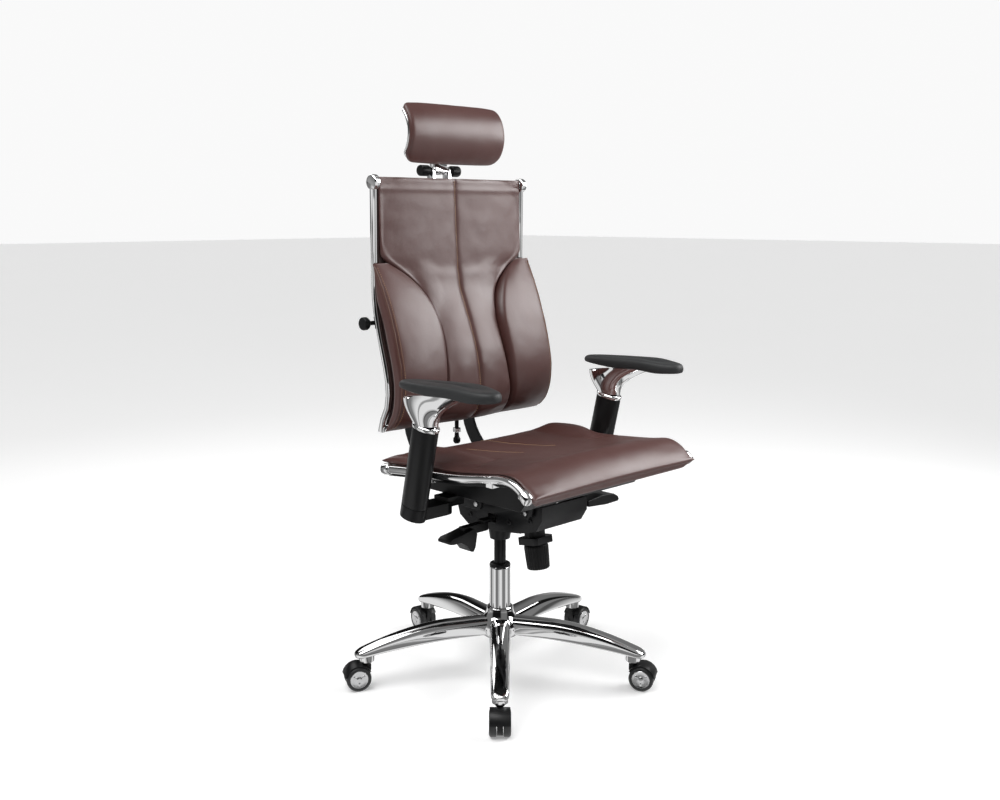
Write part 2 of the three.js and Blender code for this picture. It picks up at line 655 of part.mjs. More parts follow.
// ---------- headrest ----------
// Bracket on the panel, a fork at its top and the lower pivot pin with its two knobs.
function headrestBracket() {
  const foot = box(-30, 30, panelRear(1060) + gap + 0.6, 197, 1035, 1095);
  const stem = box(-14, 14, 192, 204, 1040, 1150);
  const fork = side([[192, 1130], [216, 1130], ...arc(lowerPivot.y, lowerPivot.z, 10, 0, 180, 8)], -29, 29);
  const slot = box(-20, 20, 150, 260, 1165, 1220);
  const knob = [[0, 36], [11, 36], [12.5, 38], [12.5, 58], [10, 61], [0, 61]];
  const pin = rodX(4, -40, 40, lowerPivot.y, lowerPivot.z);
  const knobLeft = turnedX(knob, lowerPivot.y, lowerPivot.z);
  return join(cut(join(foot, stem, fork), slot), pin, knobLeft, mirrorX(knobLeft));
}

// Short link between the two pivots; it carries the upper pin and its knobs.
function headrestLink() {
  const cheek = side([...arc(lowerPivot.y, lowerPivot.z, 9, 170, 370, 10),
    ...arc(upperPivot.y, upperPivot.z, 9, 10, 170, 8)], -19.4, 19.4);
  const pin = rodX(4, -70, 70, upperPivot.y, upperPivot.z);
  const knob = [[0, 66], [8, 66], [9.5, 68], [9.5, 80], [8, 83], [0, 83]];
  const knobLeft = turnedX(knob, upperPivot.y, upperPivot.z);
  return cut(join(cheek, pin, knobLeft, mirrorX(knobLeft)), rodX(4.4, -30, 30, lowerPivot.y, lowerPivot.z));
}

// Ring segment about the headrest's centre, a few degrees short of its full height.
function headArc(outer, inner, short = 0) {
  const half = headSpan - short;
  const steps = 14;
  return [...arc(headCentre.y, headCentre.z, outer, 180 - half, 180 + half, steps),
    ...arc(headCentre.y, headCentre.z, inner, 180 + half, 180 - half, steps)];
}

// Curved plate with an edge strip down each side and two lugs for the upper pin.
function headrestShell() {
  const plate = side(headArc(70.6, 66, 1), -headHalf, headHalf);
  const strip = (x) => side(headArc(75, 67), x, x + 5);
  const lug = (x) => side([[144.5, 1262], [157.8, 1226], ...arc(upperPivot.y, upperPivot.z, 9, 250, 430, 8)],
    x, x + 8);
  const body = join(plate, strip(headHalf - 5), strip(-headHalf), lug(34), lug(-42));
  return cut(body, rodX(4.4, -60, 60, upperPivot.y, upperPivot.z));
}

// Thick between the strips, and over their front edges.
function headrestPad() {
  const core = side(headArc(headRadius, 71), -headHalf + 5.4, headHalf - 5.4, 4);
  return join(core, side(headArc(headRadius, 75.4), -headHalf + 1, headHalf - 1, 4));
}

add('headrest_bracket', headrestBracket(), chrome);
add('headrest_link', headrestLink(), chrome);
add('headrest_shell', headrestShell(), chrome);
add('headrest_pad', headrestPad(), leather);

export default chair;
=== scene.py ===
import json
import math

import bmesh
import bpy
import numpy as np
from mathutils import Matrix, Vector, noise

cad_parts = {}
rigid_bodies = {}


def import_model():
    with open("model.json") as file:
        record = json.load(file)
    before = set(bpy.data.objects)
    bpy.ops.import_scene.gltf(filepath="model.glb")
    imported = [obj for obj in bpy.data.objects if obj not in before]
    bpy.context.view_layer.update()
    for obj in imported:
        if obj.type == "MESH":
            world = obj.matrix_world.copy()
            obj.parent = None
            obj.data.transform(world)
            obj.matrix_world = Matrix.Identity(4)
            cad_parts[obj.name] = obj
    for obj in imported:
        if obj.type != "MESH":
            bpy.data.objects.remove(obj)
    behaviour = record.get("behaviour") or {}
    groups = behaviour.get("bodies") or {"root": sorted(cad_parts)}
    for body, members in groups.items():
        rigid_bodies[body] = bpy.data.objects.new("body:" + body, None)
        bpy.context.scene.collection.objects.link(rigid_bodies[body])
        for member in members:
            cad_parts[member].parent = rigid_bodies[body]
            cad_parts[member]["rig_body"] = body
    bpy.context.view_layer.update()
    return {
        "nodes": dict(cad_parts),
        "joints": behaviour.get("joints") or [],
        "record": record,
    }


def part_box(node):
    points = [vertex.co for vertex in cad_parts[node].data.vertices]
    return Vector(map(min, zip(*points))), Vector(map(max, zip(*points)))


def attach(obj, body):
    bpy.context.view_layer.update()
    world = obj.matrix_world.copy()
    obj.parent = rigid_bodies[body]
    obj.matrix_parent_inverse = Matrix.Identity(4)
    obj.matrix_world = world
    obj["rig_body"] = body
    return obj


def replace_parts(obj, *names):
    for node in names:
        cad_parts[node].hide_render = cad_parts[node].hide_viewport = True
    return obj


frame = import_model()
joints = {j["name"]: j for j in frame["joints"]}
upright = Vector((0, 0, 1))


def pinOf(joint):
    return Vector(joints[joint]["pos_m"])


def axisOf(joint):
    return Vector(joints[joint]["axis"]).normalized()


finishes = {
    "leather": {
        "color": (0.066, 0.0225, 0.019), "second": (0.088, 0.0315, 0.0265), "patch": 7.0,
        "roughness": (0.34, 0.45), "sheen": 0.02, "specular": 0.7,
        "bumps": [("cells", 800.0, 0.22, 0.0004), ("noise", 2400.0, 0.12, 0.00012),
                  ("noise", 30.0, 0.18, 0.003)],
    },
    # copy of the leather with painted shade: darker, for the gusset and panel that sit in shade between and
    # behind the pads
    "leatherDark": {
        "color": (0.036, 0.015, 0.0135), "second": (0.05, 0.021, 0.018), "patch": 9.0,
        "roughness": (0.42, 0.58), "sheen": 0.05, "specular": 0.45,
        "bumps": [("cells", 950.0, 0.16, 0.00035), ("noise", 24.0, 0.2, 0.003)],
    },
    "piping": {
        "color": (0.085, 0.036, 0.026), "second": (0.12, 0.055, 0.038), "patch": 30.0,
        "roughness": (0.38, 0.5), "bumps": [("noise", 1500.0, 0.15, 0.0002)],
    },
    "thread": {
        "color": (0.34, 0.2, 0.115), "second": (0.42, 0.26, 0.15), "patch": 60.0,
        "roughness": (0.55, 0.7), "bumps": [("noise", 3000.0, 0.3, 0.0002)],
    },
    "chrome": {
        "color": (0.86, 0.86, 0.865), "second": (0.89, 0.89, 0.89), "patch": 6.0, "metal": 1.0,
        "roughness": (0.035, 0.075), "bumps": [("noise", 40.0, 0.02, 0.0006)],
    },
    "brightSteel": {
        "color": (0.66, 0.66, 0.67), "second": (0.72, 0.72, 0.72), "patch": 30.0, "metal": 1.0,
        "roughness": (0.16, 0.28), "bumps": [("noise", 900.0, 0.08, 0.0002)],
    },
    "blackPlastic": {
        "color": (0.0055, 0.0055, 0.006), "second": (0.0085, 0.0085, 0.009), "patch": 20.0,
        "roughness": (0.3, 0.42), "specular": 0.26, "bumps": [("noise", 1800.0, 0.12, 0.0002)],
    },
    "blackMetal": {
        "color": (0.006, 0.006, 0.0068), "second": (0.01, 0.01, 0.011), "patch": 14.0,
        "roughness": (0.26, 0.38), "specular": 0.3, "bumps": [("noise", 1100.0, 0.14, 0.0003)],
    },
    "armPad": {
        "color": (0.019, 0.02, 0.021), "second": (0.026, 0.027, 0.028), "patch": 16.0,
        "roughness": (0.5, 0.62), "specular": 0.42,
        "bumps": [("cells", 1500.0, 0.12, 0.0002), ("noise", 30.0, 0.1, 0.001)],
    },
    "casterRubber": {
        "color": (0.014, 0.014, 0.015), "second": (0.022, 0.022, 0.023), "patch": 40.0,
        "roughness": (0.32, 0.48), "bumps": [("noise", 1200.0, 0.12, 0.0003)],
    },
}


def makeFinish(name):
    look = finishes[name]
    mat = bpy.data.materials.new(name)
    mat.use_nodes = True
    tree = mat.node_tree
    tree.nodes.clear()
    out = tree.nodes.new("ShaderNodeOutputMaterial")
    shader = tree.nodes.new("ShaderNodeBsdfPrincipled")
    tree.links.new(shader.outputs["BSDF"], out.inputs["Surface"])
    where = tree.nodes.new("ShaderNodeTexCoord").outputs["Object"]

    # colour drifts slowly between two close tones, and roughness with it
    patch = tree.nodes.new("ShaderNodeTexNoise")
    patch.inputs["Scale"].default_value = look["patch"]
    patch.inputs["Detail"].default_value = 5.0
    tree.links.new(where, patch.inputs["Vector"])
    tone = tree.nodes.new("ShaderNodeMix")
    tone.data_type = "RGBA"
    tone.inputs["A"].default_value = (*look["color"], 1)
    tone.inputs["B"].default_value = (*look["second"], 1)
    tree.links.new(patch.outputs["Fac"], tone.inputs["Factor"])
    tree.links.new(tone.outputs["Result"], shader.inputs["Base Color"])
    wear = tree.nodes.new("ShaderNodeMapRange")
    wear.inputs["From Min"].default_value = 0.3
    wear.inputs["From Max"].default_value = 0.7
    wear.inputs["To Min"].default_value = look["roughness"][0]
    wear.inputs["To Max"].default_value = look["roughness"][1]
    tree.links.new(patch.outputs["Fac"], wear.inputs["Value"])
    tree.links.new(wear.outputs["Result"], shader.inputs["Roughness"])

    # fine surface detail, from the finest layer up
    normal = None
    for kind, scale, strength, depth in look["bumps"]:
        if kind == "cells":
            grain = tree.nodes.new("ShaderNodeTexVoronoi")
            grain.feature = "DISTANCE_TO_EDGE"
            height = grain.outputs["Distance"]
        else:
            grain = tree.nodes.new("ShaderNodeTexNoise")
            grain.inputs["Detail"].default_value = 4.0
            height = grain.outputs["Fac"]
        grain.inputs["Scale"].default_value = scale
        tree.links.new(where, grain.inputs["Vector"])
        bump = tree.nodes.new("ShaderNodeBump")
        bump.inputs["Strength"].default_value = strength
        bump.inputs["Distance"].default_value = depth
        tree.links.new(height, bump.inputs["Height"])
        if normal:
            tree.links.new(normal, bump.inputs["Normal"])
        normal = bump.outputs["Normal"]
    tree.links.new(normal, shader.inputs["Normal"])

    shader.inputs["Metallic"].default_value = look.get("metal", 0.0)
    shader.inputs["Specular IOR Level"].default_value = look.get("specular", 0.5)
    shader.inputs["Sheen Weight"].default_value = look.get("sheen", 0.0)
    mat.diffuse_color = (*look["color"], 1)
    return mat


materials = {name: makeFinish(name) for name in finishes}
# the CAD leather parts take the copy of the leather painted darker as shade
finishOfSlot = {
    "leather": "leatherDark", "chrome": "chrome", "steel": "brightSteel", "black_plastic": "blackPlastic",
    "black_metal": "blackMetal", "arm_pad": "armPad", "caster_wheel": "casterRubber",
}
for part in frame["record"]["subparts"]:
    node = frame["nodes"][part["node"]]
    node.data.materials.clear()
    node.data.materials.append(materials[finishOfSlot[part["material_slot"]]])
print("finishes made:", len(materials))


# A named piece of one finish that rides on a body.
def place(name, verts, faces, body, finish):
    mesh = bpy.data.meshes.new(name)
    mesh.from_pydata([tuple(v) for v in verts], [], faces)
    mesh.validate()
    bm = bmesh.new()
    bm.from_mesh(mesh)
    bmesh.ops.recalc_face_normals(bm, faces=bm.faces)
    bm.to_mesh(mesh)
    bm.free()
    for polygon in mesh.polygons:
        polygon.use_smooth = True
    mesh.materials.append(materials[finish])
    piece = bpy.data.objects.new(name, mesh)
    bpy.context.scene.collection.objects.link(piece)
    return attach(piece, body)


def sharpen(piece, degrees=34):
    piece.data.set_sharp_from_angle(angle=math.radians(degrees))
    return piece


def bevel(piece, width, segments=2, degrees=34):
    step = piece.modifiers.new("edges", "BEVEL")
    step.width = width
    step.segments = segments
    step.limit_method = "ANGLE"
    step.angle_limit = math.radians(degrees)
    step.harden_normals = True
    return bake(piece)


def subdivide(piece, levels=1):
    step = piece.modifiers.new("smooth", "SUBSURF")
    step.levels = levels
    step.render_levels = levels
    return bake(piece)


# Applies the modifiers, so that none is left on the piece.
def bake(piece):
    graph = bpy.context.evaluated_depsgraph_get()
    graph.update()
    result = bpy.data.meshes.new_from_object(piece.evaluated_get(graph))
    piece.modifiers.clear()
    old = piece.data
    piece.data = result
    result.name = piece.name
    bpy.data.meshes.remove(old)
    return piece


# Rings of equal length joined into a skin, each end closed by a fan.
def loftSkin(rings):
    count = len(rings[0])
    verts = [Vector(p) for ring in rings for p in ring]
    faces = []
    for i in range(len(rings) - 1):
        for j in range(count):
            k = (j + 1) % count
            faces.append((i * count + j, i * count + k, (i + 1) * count + k, (i + 1) * count + j))
    for ring in (0, len(rings) - 1):
        middle = sum((Vector(p) for p in rings[ring]), Vector()) / count
        verts.append(middle)
        hub = len(verts) - 1
        for j in range(count):
            faces.append((ring * count + j, ring * count + (j + 1) % count, hub))
    return verts, faces


def loft(name, rings, body, finish):
    return place(name, *loftSkin(rings), body, finish)


# Turned piece from (radius, height) pairs, about an axis through a centre.
def turn(name, profile, centre, axis, body, finish, steps=48, degrees=34):
    axis = Vector(axis).normalized()
    spin = Vector((0, 0, 1)).rotation_difference(axis).to_matrix()
    verts, faces = [], []
    rows = []
    for radius, height in profile:
        if radius < 1e-6:
            rows.append([len(verts)])
            verts.append(Vector(centre) + axis * height)
        else:
            rows.append(list(range(len(verts), len(verts) + steps)))
            for k in range(steps):
                a = 2 * math.pi * k / steps
                point = Vector((radius * math.cos(a), radius * math.sin(a), height))
                verts.append(Vector(centre) + spin @ point)
    for low, high in zip(rows, rows[1:]):
        for k in range(steps):
            a, b = low[k % len(low)], low[(k + 1) % len(low)]
            c, d = high[(k + 1) % len(high)], high[k % len(high)]
            loop = [v for i, v in enumerate((a, b, c, d)) if v not in (a, b, c, d)[:i]]
            if len(loop) > 2:
                faces.append(loop)
    if len(rows[0]) > 1 and len(rows[-1]) > 1:   # a ring: its profile closes on itself
        for k in range(steps):
            faces.append((rows[-1][k], rows[-1][(k + 1) % steps], rows[0][(k + 1) % steps], rows[0][k]))
    return sharpen(place(name, verts, faces, body, finish), degrees)


# Rod of round section along points.
def pipe(name, points, radius, body, finish, sides=12):
    points = [Vector(p) for p in points]
    rings = []
    up = Vector((1, 0, 0))
    for i, p in enumerate(points):
        along = (points[min(i + 1, len(points) - 1)] - points[max(i - 1, 0)]).normalized()
        first = (up - along * up.dot(along))
        if first.length < 1e-3:
            first = Vector((0, 1, 0)) - along * along.y
        first.normalize()
        second = along.cross(first)
        rings.append([p + first * (radius * math.cos(a)) + second * (radius * math.sin(a))
                      for a in (2 * math.pi * k / sides for k in range(sides))])
    return loft(name, rings, body, finish)


# Smooth path through points, evenly resampled.
def route(points, count):
    points = [Vector(p) for p in points]
    dense = []
    for i in range(len(points) - 1):
        a, b = points[max(i - 1, 0)], points[i]
        c, d = points[i + 1], points[min(i + 2, len(points) - 1)]
        for k in range(12):
            t = k / 12
            dense.append(0.5 * ((2 * b) + (c - a) * t + (2 * a - 5 * b + 4 * c - d) * t * t
                                + (3 * b - a - 3 * c + d) * t * t * t))
    dense.append(points[-1])
    lengths = np.cumsum([0] + [(q - p).length for p, q in zip(dense, dense[1:])])
    wanted = np.linspace(0, lengths[-1], count)
    return [Vector([np.interp(w, lengths, [p[k] for p in dense]) for k in range(3)]) for w in wanted]


# Lowest and highest corner of the cut through a CAD node, at a value on an axis.
def cutBox(node, axis, value):
    mesh = frame["nodes"][node].data
    key = "xyz".index(axis)
    found = []
    for edge in mesh.edges:
        a, b = (mesh.vertices[v].co for v in edge.vertices)
        if (a[key] - value) * (b[key] - value) <= 0 and a[key] != b[key]:
            found.append(a.lerp(b, (value - a[key]) / (b[key] - a[key])))
    found = np.array(found)
    return Vector(found.min(0)), Vector(found.max(0))


# Copy of a CAD node with clean flats and rounded edges, standing for the node.
def refined(node, finish, width=0.0008, segments=2, degrees=34):
    source = frame["nodes"][node]
    mesh = source.data.copy()
    bm = bmesh.new()
    bm.from_mesh(mesh)
    bmesh.ops.remove_doubles(bm, verts=bm.verts, dist=1e-6)
    bmesh.ops.dissolve_limit(bm, angle_limit=math.radians(1.5), verts=bm.verts, edges=bm.edges)
    bm.to_mesh(mesh)
    bm.free()
    mesh.materials.clear()
    mesh.materials.append(materials[finish])
    for polygon in mesh.polygons:
        polygon.use_smooth = True
    piece = bpy.data.objects.new(node + "_fine", mesh)
    bpy.context.scene.collection.objects.link(piece)
    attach(piece, source["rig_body"])
    bevel(piece, width, segments, degrees)
    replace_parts(piece, node)
    return piece


def smoothStep(t):
    t = min(1.0, max(0.0, t))
    return t * t * (3 - 2 * t)


# Sample places from -1 to 1, closer together at both ends and at any extra places.
def spread(count, extra=()):
    base = [math.sin(0.5 * math.pi * (2 * i / count - 1)) for i in range(count + 1)]
    near = [e + d for e in extra for d in (-0.022, -0.009, 0, 0.009, 0.022)]
    kept = [b for b in base if all(abs(b - n) > 0.02 for n in near)]
    return sorted(kept + near)


# Thickness left at t (-1 to 1) when the last part of a side is rounded off.
def fillet(t, part):
    past = (abs(t) - (1 - part)) / part
    return 1.0 if past <= 0 else math.sqrt(max(0.0, 1 - past * past))


# Closed padded form between a front and a rear surface that meet in a rounded rim.
def padForm(name, columns, rows, front, rear, body, finish, rimColumn, rimRow):
    verts, faces, index, seam, behind = [], [], {}, [], []
    for i, r in enumerate(rows):
        for j, c in enumerate(columns):
            f, b = Vector(front(c, r)), Vector(rear(c, r))
            middle = (f + b) / 2
            s = rimColumn(c) * rimRow(r)
            edge = i in (0, len(rows) - 1) or j in (0, len(columns) - 1)
            index[i, j, 0] = len(verts)
            verts.append(middle + (f - middle) * s)
            if edge:
                index[i, j, 1] = index[i, j, 0]
                seam.append(index[i, j, 0])
            else:
                index[i, j, 1] = len(verts)
                behind.append(len(verts))
                verts.append(middle + (b - middle) * s)
    for i in range(len(rows) - 1):
        for j in range(len(columns) - 1):
            for side in (0, 1):
                loop = [index[i, j, side], index[i, j + 1, side], index[i + 1, j + 1, side],
                        index[i + 1, j, side]]
                faces.append(loop if side == 0 else loop[::-1])
    piece = place(name, verts, faces, body, finish)
    group = piece.vertex_groups.new(name="held")
    group.add(seam + behind, 1.0, "REPLACE")
    return piece


padding = {
    "frames": 16,                 # how long the air pressure works
    "mass": 0.4,
    "stretchStiffness": 25,
    "bendStiffness": 2.0,
    "rippleHeight": 0.0005,       # unevenness left in stretched leather
    "rippleSize": 0.035,
}


# Air pressure under the held seams fills the front of a pad; how far it may swell is capped.
def inflate(piece, pressure, cap):
    start = np.array([v.co for v in piece.data.vertices])
    cloth = piece.modifiers.new("fill", "CLOTH")
    cloth.settings.quality = 6
    cloth.settings.mass = padding["mass"]
    cloth.settings.tension_stiffness = padding["stretchStiffness"]
    cloth.settings.compression_stiffness = padding["stretchStiffness"]
    cloth.settings.bending_stiffness = padding["bendStiffness"]
    cloth.settings.use_pressure = True
    cloth.settings.uniform_pressure_force = pressure
    cloth.settings.vertex_group_mass = "held"
    cloth.settings.effector_weights.gravity = 0
    cloth.collision_settings.use_self_collision = False
    for step in range(1, padding["frames"] + 1):
        bpy.context.scene.frame_set(step)
    bake(piece)
    bpy.context.scene.frame_set(1)
    moved = np.array([v.co for v in piece.data.vertices]) - start
    length = np.linalg.norm(moved, axis=1, keepdims=True)
    limited = moved * np.minimum(1.0, cap / np.maximum(length, 1e-9))
    piece.data.vertices.foreach_set("co", (start + limited).ravel())
    print(f"{piece.name}: swelled {1000 * length.max():.1f} mm, capped at {1000 * cap:.1f}")
    piece.vertex_groups.clear()
    subdivide(piece)
    ripple(piece, padding["rippleHeight"], padding["rippleSize"])
    for polygon in piece.data.polygons:
        polygon.use_smooth = True
    return piece


thread = {
    "pitch": 0.0052,
    "thick": 0.0009,              # radius of the seams' threads
    "fine": 0.0006,               # radius of the threads beside the piping
}


# Short threads laid along a path, as one piece.
def stitches(name, points, body, radius):
    points = [Vector(p) for p in points]
    total = sum((b - a).length for a, b in zip(points, points[1:]))
    places = route(points, max(4, int(total / thread["pitch"]) * 2 + 1))
    verts, faces = [], []
    for a, b in zip(places[0::2], places[1::2]):
        along = (b - a).normalized()
        side = along.orthogonal().normalized()
        other = along.cross(side)
        rings = []
        for t, swell in ((0.0, 0.35), (0.2, 0.95), (0.8, 0.95), (1.0, 0.35)):
            middle = a + (b - a) * (t * 1.35)
            rings.append([middle + (side * math.cos(q) + other * math.sin(q)) * radius * swell
                          for q in (2 * math.pi * k / 5 for k in range(5))])
        v, f = loftSkin(rings)
        faces += [[i + len(verts) for i in face] for face in f]
        verts += v
    return place(name, verts, faces, body, "thread")


# Faint unevenness of stretched leather, moved along the surface's own normals.
def ripple(piece, height, size):
    mesh = piece.data
    co = np.array([v.co for v in mesh.vertices])
    for i, v in enumerate(mesh.vertices):
        at = Vector([v.co[k] / size for k in range(3)])
        co[i] += np.array(v.normal) * height * noise.noise(at)
    mesh.vertices.foreach_set("co", co.ravel())
    mesh.update()


# Draws a soft groove into a piece along a path.
def channel(piece, path, depth, width):
    path = np.array([tuple(p) for p in path])
    mesh = piece.data
    co = np.array([v.co for v in mesh.vertices])
    normals = np.array([v.normal for v in mesh.vertices])
    near = np.where(((co > path.min(0) - 3 * width) & (co < path.max(0) + 3 * width)).all(1))[0]
    for i in near:
        d = np.linalg.norm(path - co[i], axis=1).min()
        co[i] -= normals[i] * depth * math.exp(-((d / width) ** 2))
    mesh.vertices.foreach_set("co", co.ravel())
    mesh.update()


# Points dropped along a direction onto a finished piece, lifted a little off it.
def layOn(piece, points, direction, lift=0.0):
    direction = Vector(direction)
    laid = []
    for p in points:
        start = Vector(p) - direction * 0.3
        hit, where, _, _ = piece.ray_cast(start, direction)
        laid.append(where - direction * lift if hit else Vector(p))
    return laid


starBase = {
    "legHalf": (0.0262, 0.0192),  # half width of a leg at the hub and at its tip
    "noseLength": 0.02,
    "shoulder": 0.62,             # how square the leg's section is above
    "keel": 0.42,                 # the same below
    "hubEnd": (0.0985, 0.1415),   # underside and crown of a leg at the hub
    "tipEnd": (0.0742, 0.09),     # the same at its tip
    "socket": [(0.0058, 0.0645), (0.0165, 0.0645), (0.0175, 0.0655), (0.0175, 0.086), (0.0058, 0.086)],
    "hub": [(0.0254, 0.092), (0.04, 0.0925), (0.047, 0.097), (0.0512, 0.105), (0.0515, 0.118), (0.047, 0.131),
            (0.0395, 0.141), (0.0345, 0.149), (0.0325, 0.157), (0.0318, 0.161), (0.03, 0.163),
            (0.0254, 0.163)],
}


def buildStarBase():
    mesh = frame["nodes"]["star_base"].data
    stems = [pinOf(f"caster_{n}_swivel") for n in range(1, 6)]
    pieces = []
    for n, stem in enumerate(stems, 1):
        out = Vector((stem.x, stem.y, 0)).normalized()
        across = Vector((-out.y, out.x, 0))
        along = np.array([[v.co.dot(out), abs(v.co.dot(across)), v.co.z] for v in mesh.vertices])
        tip = along[along[:, 1] < 0.03][:, 0].max()
        (hubLow, hubTop), (tipLow, tipTop) = starBase["hubEnd"], starBase["tipEnd"]

        # a leg's crown and underside run on smooth lines from the hub to the tip
        def crown(r):
            t = max(0.0, (r - 0.13) / (tip - 0.13))
            return hubTop - (hubTop - tipTop) * t ** 1.75

        def belly(r):
            t = max(0.0, (r - 0.1) / (tip - 0.1))
            return hubLow - (hubLow - tipLow) * t ** 1.5
        rings = []
        nose = starBase["noseLength"]
        stops = list(np.linspace(0.02, tip - nose, 26))
        stops += [tip - nose * (1 - math.sin(0.5 * math.pi * k / 7)) for k in range(1, 8)]
        for r in stops:
            past = max(0.0, (r - (tip - nose)) / nose)
            shrink = math.sqrt(max(0.02, 1 - past * past))
            part = (r - 0.03) / (tip - 0.03)
            wide, narrow = starBase["legHalf"]
            half = (wide + (narrow - wide) * part) * (0.35 + 0.65 * shrink)
            top, under = crown(r), belly(r)
            middle = (top + under) / 2
            ring = []
            for k in range(36):
                a = 2 * math.pi * k / 36
                cx, cz = math.cos(a), math.sin(a)
                px = math.copysign(abs(cx) ** starBase["shoulder" if cz > 0 else "keel"], cx) * half
                tall = math.copysign(abs(cz) ** (0.8 if cz > 0 else 0.45), cz) * (top - under) / 2
                pz = middle + tall * (0.45 + 0.55 * shrink)
                ring.append(out * r + across * px + Vector((0, 0, pz)))
            rings.append(ring)
        pieces.append(loft(f"leg_{n}", rings, "base", "chrome"))
        pieces.append(turn(f"leg_{n}_socket", starBase["socket"], (stem.x, stem.y, 0), upright, "base",
                           "chrome", 40))
    hub = turn("hub", starBase["hub"], (0, 0, 0), upright, "base", "chrome", 72)
    for piece in pieces + [hub]:
        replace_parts(piece, "star_base")


buildStarBase()
print("star base built")


def buildColumn():
    low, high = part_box("column_tube")
    r = high.x
    tube = [(0.0, low.z), (r - 0.001, low.z), (r, low.z + 0.001), (r, high.z - 0.0035),
            (r - 0.0006, high.z - 0.001), (r - 0.0016, high.z), (r - 0.002, high.z),
            (r - 0.002, low.z + 0.003), (0.0, low.z + 0.003)]
    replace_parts(turn("column_tube_fine", tube, (0, 0, 0), upright, "base", "chrome", 72), "column_tube")
    low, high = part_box("column_bush")
    bore = cutBox("gas_cylinder", "z", high.z)[1].x + 0.0004
    bush = [(bore, low.z), (0.0226, low.z), (0.0226, high.z - 0.0077), (0.0249, high.z - 0.0077),
            (0.025, high.z - 0.004), (0.0242, high.z - 0.0012), (0.0225, high.z), (bore + 0.001, high.z),
            (bore, high.z - 0.001)]
    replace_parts(turn("column_bush_fine", bush, (0, 0, 0), upright, "base", "blackPlastic", 60), "column_bush")


buildColumn()
refined("gas_cylinder", "blackMetal", 0.0005)
print("gas lift built")


caster = {
    "rim": 0.0262,                # where the tread's side turns into the face
    "disc": 0.0212,               # bright disc on the face
    "bore": 0.0049,
    "spokes": 3,
    "spokeStart": 0.0062,
    "spokeLength": 0.0102,
}


def buildCaster(n):
    stem = pinOf(f"caster_{n}_swivel")
    axle = pinOf(f"caster_{n}_roll_left")
    across = axisOf(f"caster_{n}_roll_left")
    forward = Vector((axle.x - stem.x, axle.y - stem.y, 0)).normalized()
    refined(f"caster_{n}_fork", "blackPlastic", 0.0009, 3)
    for hand in ("left", "right"):
        node = f"caster_{n}_wheel_{hand}"
        co = np.array([v.co for v in frame["nodes"][node].data.vertices])
        reach = (co - np.array(axle)) @ np.array(across)
        sign = 1 if reach.mean() > 0 else -1
        inner, outer = np.abs(reach).min(), np.abs(reach).max()
        r = axle.z
        axis = across * sign
        body = f"caster_{n}_{hand}"
        rim, disc, bore = caster["rim"], caster["disc"], caster["bore"]
        tread = [(bore, inner), (r - 0.0022, inner), (r - 0.0006, inner + 0.0008), (r, inner + 0.003),
                 (r, outer - 0.0045), (r - 0.0007, outer - 0.0025), (rim, outer - 0.0008),
                 (rim - 0.002, outer), (disc + 0.0006, outer - 0.0004), (disc + 0.0002, outer - 0.0028),
                 (0.0, outer - 0.0028), (0.0, outer - 0.004), (bore, outer - 0.004)]
        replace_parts(turn(node + "_tread", tread, axle, axis, body, "casterRubber", 56), node)
        d = outer - 0.0026
        face = [(0.0, d - 0.0002), (disc, d - 0.0002), (disc, d + 0.0014), (disc - 0.0012, d + 0.0022),
                (disc - 0.0032, d + 0.0018), (0.015, d + 0.0006), (0.007, d + 0.001), (0.0052, d + 0.0024),
                (0.003, d + 0.0026), (0.0, d + 0.0026)]
        turn(node + "_disc", face, axle, axis, body, "brightSteel", 48)
        # raised lobes round the disc
        for k in range(caster["spokes"]):
            a = 2 * math.pi * (k + 0.25) / caster["spokes"]
            out = forward * math.cos(a) + upright * math.sin(a)
            side = forward * -math.sin(a) + upright * math.cos(a)
            rings = []
            for t in np.linspace(0, 1, 7):
                reachOut = caster["spokeStart"] + caster["spokeLength"] * t
                half = 0.0018 + 0.0024 * math.sin(math.pi * min(1.0, t * 1.1)) * t
                lift = 0.0016 * math.sin(math.pi * (0.08 + 0.84 * t))
                base = axle + axis * (d + 0.0004) + out * reachOut
                ring = []
                for m in range(12):
                    q = 2 * math.pi * m / 12
                    rise = lift * max(0.0, math.sin(q)) + 0.0001
                    ring.append(base + side * half * math.cos(q) + axis * rise)
                rings.append(ring)
            loft(f"{node}_lobe_{k + 1}", rings, body, "brightSteel")


for number in range(1, 6):
    buildCaster(number)
print("casters built")


mechanism = {
    # CAD node, its finish and how far its edges are rounded
    "edges": [("mechanism_housing", "blackMetal", 0.0016), ("seat_carrier", "blackMetal", 0.0008),
              ("height_lever", "blackPlastic", 0.0022), ("tilt_lever", "blackPlastic", 0.0026),
              ("tilt_axle", "brightSteel", 0.0008), ("seat_pivot", "brightSteel", 0.0006),
              ("tension_spring", "brightSteel", 0.0002)],
    "knobRibs": 28,
    "ribDepth": 0.0011,
    # height along the shaft, radius, share of the rib's depth
    "knob": [(-0.09, 0.001, 0), (-0.09, 0.0205, 0), (-0.0893, 0.0228, 0.2), (-0.0878, 0.0248, 0.7),
             (-0.086, 0.0262, 1), (-0.062, 0.0275, 1), (-0.04, 0.0283, 1), (-0.0362, 0.0282, 0.7),
             (-0.0338, 0.0272, 0.2), (-0.0316, 0.0245, 0), (-0.0316, 0.0052, 0), (0.0, 0.005, 0),
             (0.0578, 0.005, 0)],
    "bolt": [(0.0, 0.0), (0.0062, 0.0), (0.0062, 0.0012), (0.005, 0.0024), (0.0026, 0.0026), (0.0022, 0.0012),
             (0.0, 0.0012)],
    "boltPlaces": [(-0.17, 0.418), (-0.105, 0.404), (0.022, 0.398)],
}


